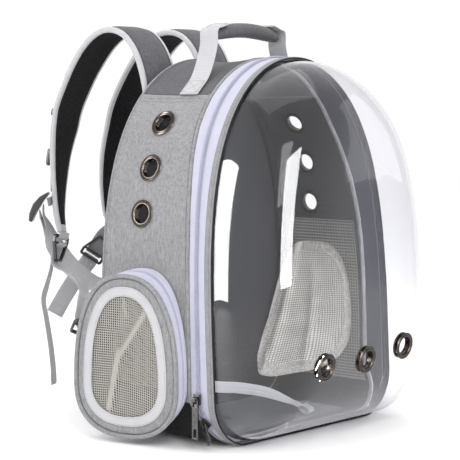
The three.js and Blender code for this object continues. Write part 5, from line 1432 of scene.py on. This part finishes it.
# Handle, pads and straps
def pad_rings(node):
    """Rings of a six-cornered pad: centres, across directions, half widths and half depths."""
    mesh = bmesh.new()
    mesh.from_mesh(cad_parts[node].data)
    bmesh.ops.remove_doubles(mesh, verts=mesh.verts, dist=0.00005)
    mesh.verts.ensure_lookup_table()
    links = [[e.other_vert(v).index for e in v.link_edges] for v in mesh.verts]
    places = np.array([v.co for v in mesh.verts])
    mesh.free()
    root = min(range(len(places)), key=lambda v: places[v][2] * 0.4 + places[v][1] * 10)
    near = sorted({m for n in links[root] for m in (n, *links[n])} - {root})
    for group in combinations(near, 5):
        found, seen = [[root, *group]], {root, *group}
        while True:
            ring = sorted({n for v in found[-1] for n in links[v]} - seen)
            if not ring:
                break
            if len(ring) != 6:
                found = []
                break
            seen.update(ring)
            found.append(ring)
        if len(found) * 6 == len(places):
            break
    else:
        raise RuntimeError(f"{node} has no plain rings")
    centres = np.array([places[ring].mean(axis=0) for ring in found])
    along = np.gradient(centres, axis=0)
    rings, previous = [], None
    for ring, centre, way in zip(found, centres, along):
        corner = places[ring]
        gaps = np.linalg.norm(corner[:, None] - corner[None], axis=-1)
        a, b = np.unravel_index(np.argmax(gaps), gaps.shape)
        wide = (corner[b] - corner[a]) / gaps[a, b]
        if previous is not None and wide @ previous < 0:
            wide = -wide
        previous = wide
        out = np.cross(way / np.linalg.norm(way), wide)
        rings.append((centre, wide, gaps[a, b] / 2, np.abs((corner - centre) @ out).max()))
    return rings


PAD_COLUMNS = 22
BOUND_SHARE = 0.80


def shoulder_pad(side):
    """A foam pad: grey cloth outside, black spacer mesh inside and a rolled white binding."""
    node = f"shoulder_pad_{side}"
    _, middle, wide, normal, half, thick, _ = ribbon_grid(pad_rings(node), PAD_STEP, 2)
    hub = np.array([middle[:, 0].mean(), 0.135, 0.27])
    if ((middle - hub) * normal).sum(1).mean() < 0:
        normal = -normal
    share = np.sin(np.linspace(-1, 1, PAD_COLUMNS + 1) * math.pi / 2)
    roll = smooth_step(np.abs(share), BOUND_SHARE - 0.05, BOUND_SHARE + 0.01)
    rolled = 0.72 * np.sqrt(np.maximum(1 - ((np.abs(share) - 0.9) / 0.105) ** 2, 0.0))
    body = 0.97 - 0.35 * smooth_step(np.abs(share), 0.45, BOUND_SHARE)
    lift = body * (1 - roll) + rolled * roll
    over = np.concatenate([share, share[::-1][1:-1]])
    lifts = np.concatenate([lift, -lift[::-1][1:-1]])
    grid = (
        middle[:, None] + wide[:, None] * (half[:, None] * over[None] * 0.995)[..., None]
        + normal[:, None] * (thick[:, None] * lifts[None])[..., None]
    )
    soft = relief(grid, 0.03, 5.0)
    grid = grid + normal[:, None] * (soft * 0.0004 * np.sign(lifts)[None] - 0.0002)[..., None]
    rows, columns = grid.shape[:2]
    piece = grid_object(f"pad_{side}", grid, wrap_columns=True)
    mesh = bmesh.new()
    mesh.from_mesh(piece.data)
    mesh.verts.ensure_lookup_table()
    for row in (0, rows - 1):
        mesh.faces.new([mesh.verts[row * columns + j] for j in range(columns)])
    bmesh.ops.recalc_face_normals(mesh, faces=mesh.faces)
    mesh.to_mesh(piece.data)
    mesh.free()
    dress(piece, finish("dark_heather"), [node], crease_degrees=60)
    piece.data.materials.append(finish("mesh"))
    piece.data.materials.append(finish("binding"))
    for face in piece.data.polygons:
        index = min(face.vertices)
        row = index // columns
        place = min(row, rows - 1)
        offset = Vector(face.center) - Vector(middle[place])
        across = abs(offset.dot(Vector(wide[place]))) / half[place]
        if across > BOUND_SHARE or row >= rows - 3:
            face.material_index = 2
        elif offset.dot(Vector(normal[place])) < 0:
            face.material_index = 1
    seams = []
    for edge in (-1, 1):
        place = middle + wide * (half * edge * (BOUND_SHARE - 0.03))[:, None]
        for face in (1, -1):
            on_face = place + normal * (thick * face * 0.60)[:, None]
            seams.append((on_face[2:-3], normal[2:-3] * face))
    stitches(f"pad_stitches_{side}", seams, finish("dark_thread"), thread=0.0003)
    return middle, wide, normal, half, thick


def pad_rail(side, measures):
    """The thin webbing on a pad's outer face, with its keeper and slider."""
    middle, wide, normal, _, thick = measures
    low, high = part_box(f"pad_ring_{side}")
    ring = np.array((low + high) / 2)
    start = int(np.argmin(np.linalg.norm(middle - ring, axis=1)))
    count = len(middle)
    stop = min(start + int(RAIL_LENGTH / PAD_STEP), count - 12)
    rows = np.arange(start + 1, stop)
    shift = ((ring - middle[start]) @ wide[start]) * np.linspace(1, 0.9, len(rows))
    centre = middle[rows] + wide[rows] * shift[:, None]
    centre = centre + normal[rows] * (thick[rows] + 0.0012)[:, None]
    rings = [(c, w, 0.0048, 0.0006) for c, w in zip(centre, wide[rows])]
    grid = ribbon_grid(rings, 0.003, 6)[0]
    piece = grid_object(f"pad_rail_{side}", grid, wrap_columns=True)
    cap_ends(piece, *grid.shape[:2])
    dress(piece, finish("grey_webbing"), crease_degrees=60)
    for name, place, length in (("keeper", 0.36, 0.008), ("slider", 0.70, 0.019)):
        row = rows[int(len(rows) * place)]
        at = centre[int(len(rows) * place)]
        along = np.cross(wide[row], normal[row])
        loop_of(f"pad_{name}_{side}", at, along, wide[row], normal[row], length)
    return piece


def loop_of(name, at, along, wide, normal, length):
    """A moulded loop that holds thin webbing: a rounded frame with a bridge across."""
    half_wide, high, bar = 0.0085, 0.0024, 0.0013
    turn = np.linspace(0, 2 * math.pi, 48, endpoint=False)
    power = 0.45
    c, s = np.cos(turn), np.sin(turn)
    ring_u = np.sign(c) * np.abs(c) ** power * half_wide
    ring_v = np.sign(s) * np.abs(s) ** power * high + high * 0.55
    section = np.linspace(0, 2 * math.pi, 12, endpoint=False)
    points = []
    for a in section:
        grow = 1 + math.cos(a) * bar / half_wide
        rise = math.cos(a) * bar * 0.5
        lane = np.sign(math.sin(a)) * abs(math.sin(a)) ** 0.5 * length / 2
        points.append(at + np.outer(ring_u * grow, wide) + np.outer(ring_v * (1 + rise / high), normal)
                      + along * lane)
    piece = tidy_normals(grid_object(name, np.array(points), wrap_rows=True, wrap_columns=True))
    return dress(piece, finish("plastic"), crease_degrees=60)


def box_stitch(measures, at, length, face=1.0, cross=True):
    """A sewn box with a cross, on one face of a strap near a row."""
    middle, wide, normal, half, thick, fine = measures
    start = np.interp(at, (0, 1), (fine[0] + 0.002, fine[-1] - length - 0.002))
    run = np.linspace(start, start + length, 12)
    line = [stacked([np.interp(run, fine, a[:, k]) for k in range(3)], -1)
            for a in (middle, wide, normal)]
    reach = np.interp(run, fine, half) * 0.82
    lift = np.interp(run, fine, thick) * 0.9 * face
    base = line[0] + line[2] * lift[:, None]
    out = line[2] * face
    seams = []
    for edge in (-1, 1):
        seams.append((base + line[1] * (reach * edge)[:, None], out))
    for row in (0, -1):
        across = np.linspace(-1, 1, 8)[:, None] * reach[row]
        seams.append((base[row] + across * line[1][row], np.tile(out[row], (8, 1))))
    if cross:
        for edge in (-1, 1):
            swing = np.linspace(-edge, edge, 12) * reach
            seams.append((base + line[1] * swing[:, None], out))
    return seams


class CARRIER_OT_handle(bpy.types.Operator):
    """Makes the padded grip and the webbing that holds it"""

    bl_idname = "carrier.handle"
    bl_label = "Handle"

    def execute(self, context):
        low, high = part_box("handle_grip")
        middle = (low + high) / 2
        half = (high - low) / 2
        depth, tall, drop = half.y, 0.008, 0.007
        share = np.sin(np.linspace(-1, 1, 61) * math.pi / 2)
        swell = 1 - 0.42 * np.abs(share) ** 4
        swell *= np.sqrt(np.maximum(1 - smooth_step(np.abs(share), 0.93, 1.0) * 0.75, 0.05))
        angle = np.linspace(0, 2 * math.pi, 40, endpoint=False)[None]
        z = high.z - tall - drop * share**2
        points = stacked([
            middle.x + share[:, None] * half.x * np.ones_like(angle),
            middle.y + depth * swell[:, None] * np.cos(angle) * 0.985,
            z[:, None] + tall * swell[:, None] * np.sin(angle) * 0.985,
        ], -1)
        creases = 0.0005 * relief(points * np.array([1.0, 0.4, 0.4]), 0.007, 3.0)
        ends = smooth_step(np.abs(share), 0.55, 0.95)[:, None]
        points[..., 2] += (creases - 0.0004) * ends
        piece = grid_object("padded_grip", points, wrap_columns=True)
        cap_ends(piece, *points.shape[:2])
        tidy_normals(piece)
        dress(piece, finish("dark_heather"), ["handle_grip"],
              crease_degrees=80)
        seams = []
        under = np.linspace(-0.86, 0.86, 60)
        girth = 1 - 0.42 * np.abs(under) ** 4
        for edge in (-1, 1):
            row = stacked([under * half.x, middle.y + edge * depth * girth * 0.35,
                            high.z - tall - drop * under**2 - tall * girth * 0.92], -1)
            seams.append((row, np.tile([0, edge * 0.3, -1.0], (60, 1))))
        for side in SIDES:
            _, measures = ribbon(f"handle_webbing_{side}", 0.025, finish("webbing"), seed=4.0)
            for face in (1.0, -1.0):
                seams += box_stitch(measures, 1.0, 0.018, face=face)
                seams += box_stitch(measures, 0.0, 0.014, face=face, cross=False)
        stitches("handle_stitches", seams, finish("thread"), thread=0.0003)
        return {"FINISHED"}


class CARRIER_OT_straps(bpy.types.Operator):
    """Makes the shoulder pads with their rails and every lower and chest strap"""

    bl_idname = "carrier.straps"
    bl_label = "Straps"

    def execute(self, context):
        seams = []
        for side in SIDES:
            pad_rail(side, shoulder_pad(side))
        # The far side's straps and the anchors take the darkened webbing: painted shade
        straps = (
            ("pad_webbing_left", 0.020, "webbing"), ("pad_webbing_right", 0.020, "grey_webbing"),
            ("load_webbing_left", 0.017, "webbing"), ("load_webbing_right", 0.017, "grey_webbing"),
            ("anchor_webbing_left", 0.020, "grey_webbing"),
            ("anchor_webbing_right", 0.020, "grey_webbing"),
            ("webbing_tail_right", 0.020, "light_webbing"),
            ("chest_webbing_short", 0.010, "light_webbing"),
            ("chest_webbing_long", 0.012, "webbing"), ("chest_webbing_tail", 0.014, "light_webbing"),
        )
        for seed, (node, width, finish_name) in enumerate(straps):
            _, measures = ribbon(node, width, finish(finish_name), seed=float(seed))
            if node in ("webbing_tail_right", "chest_webbing_tail", "anchor_webbing_left",
                        "anchor_webbing_right"):
                for face in (-1.0, 1.0):
                    seams += box_stitch(measures, 1.0, 0.010, face=face, cross=False)
        stitches("strap_stitches", seams, finish("thread"), thread=0.0003)
        carry_over("chest_buckle", "plastic", 0.0012)
        return {"FINISHED"}


BACK_CORNER_SHADE_RADIUS = 0.0042
WALL_NET_TOP = 0.2165
WALL_NET_BASE = 0.030
WALL_NET_INSET = 0.0052
NET_CLOTH = 0.0006
SLACK_NET_TOP = 0.190
SLACK_NET_BASE = 0.026
SLACK_NET_LIFT = 0.024
SLACK_NET_FOLD = 0.0045
# Rows of the slack net from its foot up: insets from the wall as shares of the half width, and
# depth places as shares of the half depth, at its back and at its front edge
SLACK_NET_UP = (0.0, 0.17, 0.42, 0.70, 1.0)
SLACK_NET_INSETS = ((0.520, 0.410, 0.250, 0.150, 0.062), (0.110, 0.070, 0.050, 0.050, 0.055))
SLACK_NET_DEPTHS = ((0.86, 0.86, 0.85, 0.81, 0.72), (-0.47, -0.47, -0.44, -0.40, -0.30))
SLACK_NET_POWER = 3.4
SLACK_NET_WINDOW = 0.84


def back_corner_shade_cord():
    """A black cord inside, where the walls meet the back: painted shade in that corner."""
    end = run_at(0.032)
    runs = np.linspace(-end, end, 320)
    x, z, nx, nz = outline_at(runs)
    low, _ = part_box("back_panel")
    back = min(low.y, PANEL_BACK)
    turn = np.linspace(0, 2 * math.pi, 14, endpoint=False)[None]
    out = BACK_CORNER_SHADE_RADIUS * (np.cos(turn) - 1.1) - 2.2 * CLOTH
    y = back - 0.0012 + BACK_CORNER_SHADE_RADIUS * (np.sin(turn) - 1)
    points = stacked([x[:, None] + nx[:, None] * out, y, z[:, None] + nz[:, None] * out], -1)
    piece = grid_object("back_corner_shade_cord", points, wrap_columns=True)
    cap_ends(piece, *points.shape[:2])
    return dress(piece, finish("dark_edge"), crease_degrees=80)


def wall_net(side, sign):
    """The net that lines the lower half of a side wall, held flat by its seams."""
    runs = sign * seam_runs(WALL_NET_BASE, WALL_NET_TOP)
    points, normals, share = shell_rows(
        runs, lambda z: panel_front_at(z) + 0.003, lambda z: np.full_like(z, PANEL_BACK - 0.010),
        36, lambda share, z: side_sag(share, z) + WALL_NET_INSET,
    )
    points = points + normals * (relief(points, 0.03, 6.0) * 0.0004)[..., None]
    piece = thicken(tidy_normals(grid_object(f"wall_net_{side}", points)), NET_CLOTH, 0.0)
    # Its finish is the net darkened as painted shade behind the window
    dress(piece, finish("wall_net"), crease_degrees=60)
    return piece


def slack_place(sign, back_share, up):
    """Places on the slack net: a share of the way to the front and a share of the way up."""
    insets = [np.interp(up, SLACK_NET_UP, row) * HALF_WIDTH for row in SLACK_NET_INSETS]
    depths = [np.interp(up, SLACK_NET_UP, row) * BACK_Y for row in SLACK_NET_DEPTHS]
    z = SLACK_NET_BASE + up * (SLACK_NET_TOP - SLACK_NET_BASE)
    z = z + SLACK_NET_LIFT * back_share * (1 - up)
    inset = insets[0] * (1 - back_share) + insets[1] * back_share
    y = depths[0] * (1 - back_share) + depths[1] * back_share
    crease = np.exp(-(((back_share - 0.60 + 0.12 * up) / 0.05) ** 2)) * (1 - up)
    fold = np.exp(-(((back_share - 0.16 - 0.05 * up) / 0.06) ** 2))
    inset = inset + SLACK_NET_FOLD * (crease + fold)
    return stacked([sign * (half_width_at(z) - inset), y, z], -1)


def slack_net(side, sign):
    """The inner net that hangs slack over the mat: a bound border round a coarse window."""
    angle = np.linspace(0, 2 * math.pi, 200, endpoint=False)
    c, s = np.cos(angle), np.sin(angle)
    power = 2 / SLACK_NET_POWER
    ring = stacked([np.sign(c) * np.abs(c) ** power, np.sign(s) * np.abs(s) ** power], -1)
    shares = np.concatenate([
        np.linspace(0.02, SLACK_NET_WINDOW - 0.02, 26),
        np.linspace(SLACK_NET_WINDOW, 1.0, 10),
    ])
    flat = ring[None] * shares[:, None, None]
    plan = (flat + 1) / 2
    points = slack_place(sign, plan[..., 0], plan[..., 1])
    hem = np.exp(-(((shares - SLACK_NET_WINDOW - 0.01) / 0.012) ** 2))
    hem = hem + 0.8 * smooth_step(shares, 0.965, 0.985)
    puckers = relief(points, 0.012, 3.0) * smooth_step(shares, 0.6, 1.0)[:, None]
    points[..., 0] -= sign * (0.0011 * hem[:, None] + 0.0007 * puckers)
    rows, columns = points.shape[:2]
    wide = (SLACK_NET_DEPTHS[0][1] - SLACK_NET_DEPTHS[1][1]) * BACK_Y
    tall = SLACK_NET_TOP - SLACK_NET_BASE
    vertices = list(points.reshape(-1, 3))
    faces, coordinates, borders = [], [], []
    for i in range(rows - 1):
        for j in range(columns):
            n = (j + 1) % columns
            corners = ((i, j), (i + 1, j), (i + 1, n), (i, n))
            faces.append([a * columns + b for a, b in corners])
            coordinates += [(plan[a, b, 0] * wide, plan[a, b, 1] * tall) for a, b in corners]
            borders.append(shares[i] >= SLACK_NET_WINDOW - 0.001)
    faces.append(list(range(columns)))
    coordinates += [(plan[0, b, 0] * wide, plan[0, b, 1] * tall) for b in range(columns)]
    borders.append(False)
    piece = mesh_object(f"slack_net_{side}", vertices, faces, coordinates)
    piece.data.materials.append(finish("slack_net"))
    piece.data.materials.append(finish("net_border"))
    for face, border in zip(piece.data.polygons, borders):
        face.material_index = 1 if border else 0
    piece = thicken(tidy_normals(piece), NET_CLOTH, 0.0)
    dress(piece, None, crease_degrees=80)
    return piece


def leash_loop(measures):
    """The folded loop that the leash ends in."""
    middle, wide, normal, half, _, _ = measures
    along = (middle[-1] - middle[-4]) / np.linalg.norm(middle[-1] - middle[-4])
    centre = middle[-1] + along * 0.0056
    turn = np.linspace(0, 2 * math.pi, 26, endpoint=False)
    section = ((-1, -1), (0, -1.15), (1, -1), (1, 1), (0, 1.15), (-1, 1))
    rows = []
    for angle in turn:
        out = along * math.cos(angle) + normal[-1] * math.sin(angle)
        place = centre + along * math.cos(angle) * 0.0052 + normal[-1] * math.sin(angle) * 0.0030
        rows.append([place + wide[-1] * half[-1] * a + out * 0.0004 * b for a, b in section])
    piece = grid_object("leash_loop", np.array(rows), wrap_rows=True, wrap_columns=True)
    return dress(tidy_normals(piece), finish("light_webbing"), crease_degrees=50)


class CARRIER_OT_inside(bpy.types.Operator):
    """Lays the floor mat, the inner nets, the black cord of painted shade in the back corner and the
    leash inside
    """

    bl_idname = "carrier.inside"
    bl_label = "Inside"

    def execute(self, context):
        low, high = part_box("floor_mat")
        count_x, count_y = 90, 44
        x = np.linspace(-1, 1, count_x)
        y = np.linspace(-1, 1, count_y)
        gx, gy = np.meshgrid(x, y, indexing="ij")
        edge = np.minimum(1 - np.abs(gx), 1 - np.abs(gy))
        crown = np.sqrt(np.clip(edge / 0.05, 0, 1)) * 0.7 + 0.3
        middle, half = (low + high) / 2, (high - low) / 2
        top = low.z + (high.z - low.z) * crown
        spot = stacked([middle.x + gx * half.x, middle.y + gy * half.y, top], -1)
        spot[..., 2] -= 0.0005 * (1 + relief(spot, 0.025, 2.0)) * np.clip(edge / 0.05, 0, 1)
        base = spot.copy()
        base[..., 2] = low.z
        vertices = np.concatenate([spot.reshape(-1, 3), base.reshape(-1, 3)])
        faces = []
        offset = count_x * count_y

        def at(i, j):
            return i * count_y + j

        for i in range(count_x - 1):
            for j in range(count_y - 1):
                quad = (at(i, j), at(i + 1, j), at(i + 1, j + 1), at(i, j + 1))
                faces.append(quad)
                faces.append(tuple(q + offset for q in reversed(quad)))
        rim = [at(i, 0) for i in range(count_x)] + [at(count_x - 1, j) for j in range(1, count_y)]
        rim += [at(i, count_y - 1) for i in range(count_x - 2, -1, -1)]
        rim += [at(0, j) for j in range(count_y - 2, 0, -1)]
        for k, a in enumerate(rim):
            b = rim[(k + 1) % len(rim)]
            faces.append((a, a + offset, b + offset, b))
        piece = tidy_normals(mesh_object("soft_mat", vertices, faces))
        dress(piece, finish("mat"), ["floor_mat"], crease_degrees=60)
        _, measures = ribbon("leash_strap", 0.012, finish("light_webbing"), seed=7.0)
        seams = box_stitch(measures, 1.0, 0.012, face=1.0) + box_stitch(measures, 1.0, 0.012, -1.0)
        stitches("leash_stitches", seams, finish("thread"), thread=0.00025)
        leash_loop(measures)
        # A black cord standing for the shade in the back corner: painted shade
        back_corner_shade_cord()
        for side, sign in SIDES.items():
            wall_net(side, sign)
            slack_net(side, sign)
        return {"FINISHED"}


class CARRIER_OT_stage(bpy.types.Operator):
    """Sets the camera, the pale floor and the soft studio lights"""

    bl_idname = "carrier.stage"
    bl_label = "Stage"

    def execute(self, context):
        scene = context.scene
        back = Vector((
            math.sin(CAMERA_AZIMUTH) * math.cos(CAMERA_ELEVATION),
            -math.cos(CAMERA_AZIMUTH) * math.cos(CAMERA_ELEVATION),
            math.sin(CAMERA_ELEVATION),
        ))
        data = bpy.data.cameras.new("photo_camera")
        data.lens, data.sensor_width = CAMERA_LENS, 36.0
        data.clip_start, data.clip_end = 0.05, 50.0
        camera = bpy.data.objects.new("photo_camera", data)
        scene.collection.objects.link(camera)
        camera.location = CAMERA_TARGET + back * CAMERA_DISTANCE
        camera.rotation_mode = "QUATERNION"
        camera.rotation_quaternion = (-back).to_track_quat("-Z", "Y")
        scene.camera = camera
        pale = material("pale_floor", (0.99, 0.99, 0.99), 0.8)[0]
        floor = mesh_object(
            "floor",
            [(a * FLOOR_REACH, b * FLOOR_REACH, 0) for a, b in ((-1, -1), (1, -1), (1, 1), (-1, 1))],
            [(0, 1, 2, 3)],
        )
        floor.location.z = -FLOOR_DROP
        floor.data.materials.append(pale)
        world = bpy.data.worlds.new("studio")
        scene.world = world
        world.use_nodes = True
        sky = world.node_tree.nodes["Background"]
        sky.inputs["Color"].default_value = (1, 1, 1, 1)
        sky.inputs["Strength"].default_value = 1.03
        scene.view_settings.view_transform = "Standard"
        target = Vector((0, 0, 0.2))
        lights = (
            ("key", (-1.1, -1.2, 1.2), (0.5, 1.0), 12.0, False),
            ("fill", (1.6, -1.0, 0.9), (0.9, 1.2), 6.0, False),
            ("top", (0.1, 0.2, 1.7), (1.2, 1.2), 8.0, False),
            ("behind", (-0.7, 1.8, 1.1), (1.0, 1.0), 8.0, False),
            ("left_softbox", (-1.50, 0.85, 0.62), (0.80, 1.2), 72.0, True),
            ("front_softbox", (-0.75, -1.50, 0.72), (0.75, 1.2), 62.0, True),
        )
        for name, place, (wide, tall), power, gloss_only in lights:
            lamp = bpy.data.lights.new(name, "AREA")
            lamp.shape, lamp.size, lamp.size_y, lamp.energy = "RECTANGLE", wide, tall, power
            holder = bpy.data.objects.new(name, lamp)
            scene.collection.objects.link(holder)
            holder.visible_camera = False
            holder.visible_diffuse = not gloss_only
            holder.visible_glossy = gloss_only
            holder.location = place
            holder.rotation_mode = "QUATERNION"
            holder.rotation_quaternion = (target - Vector(place)).to_track_quat("-Z", "Y")
        return {"FINISHED"}


class CARRIER_PT_panel(bpy.types.Panel):
    """Lists the sizes, colours and makers of the carrier"""

    bl_idname = "CARRIER_PT_panel"
    bl_label = "Bubble Carrier"
    bl_space_type = "VIEW_3D"
    bl_region_type = "UI"
    bl_category = "Carrier"

    def draw(self, context):
        for group in (context.scene.carrier_sizes, context.scene.carrier_colours):
            for name in group.bl_rna.properties.keys():
                if name not in ("name", "rna_type"):
                    self.layout.prop(group, name)
        for maker in MAKERS:
            self.layout.operator(maker.bl_idname)


MAKERS = (
    CARRIER_OT_stage,
    CARRIER_OT_body,
    CARRIER_OT_front,
    CARRIER_OT_metal,
    CARRIER_OT_doors,
    CARRIER_OT_handle,
    CARRIER_OT_straps,
    CARRIER_OT_inside,
)
CLASSES = (CarrierSizes, CarrierColours, *MAKERS, CARRIER_PT_panel)


def register():
    for cls in CLASSES:
        bpy.utils.register_class(cls)
    bpy.types.Scene.carrier_sizes = PointerProperty(type=CarrierSizes)
    bpy.types.Scene.carrier_colours = PointerProperty(type=CarrierColours)


def unregister():
    del bpy.types.Scene.carrier_sizes
    del bpy.types.Scene.carrier_colours
    for cls in reversed(CLASSES):
        bpy.utils.unregister_class(cls)


def main():
    register()
    make_finishes()
    bpy.ops.carrier.stage()
    bpy.ops.carrier.body()
    bpy.ops.carrier.front()
    bpy.ops.carrier.metal()
    bpy.ops.carrier.doors()
    bpy.ops.carrier.handle()
    bpy.ops.carrier.straps()
    bpy.ops.carrier.inside()


if __name__ == "__main__":
    main()
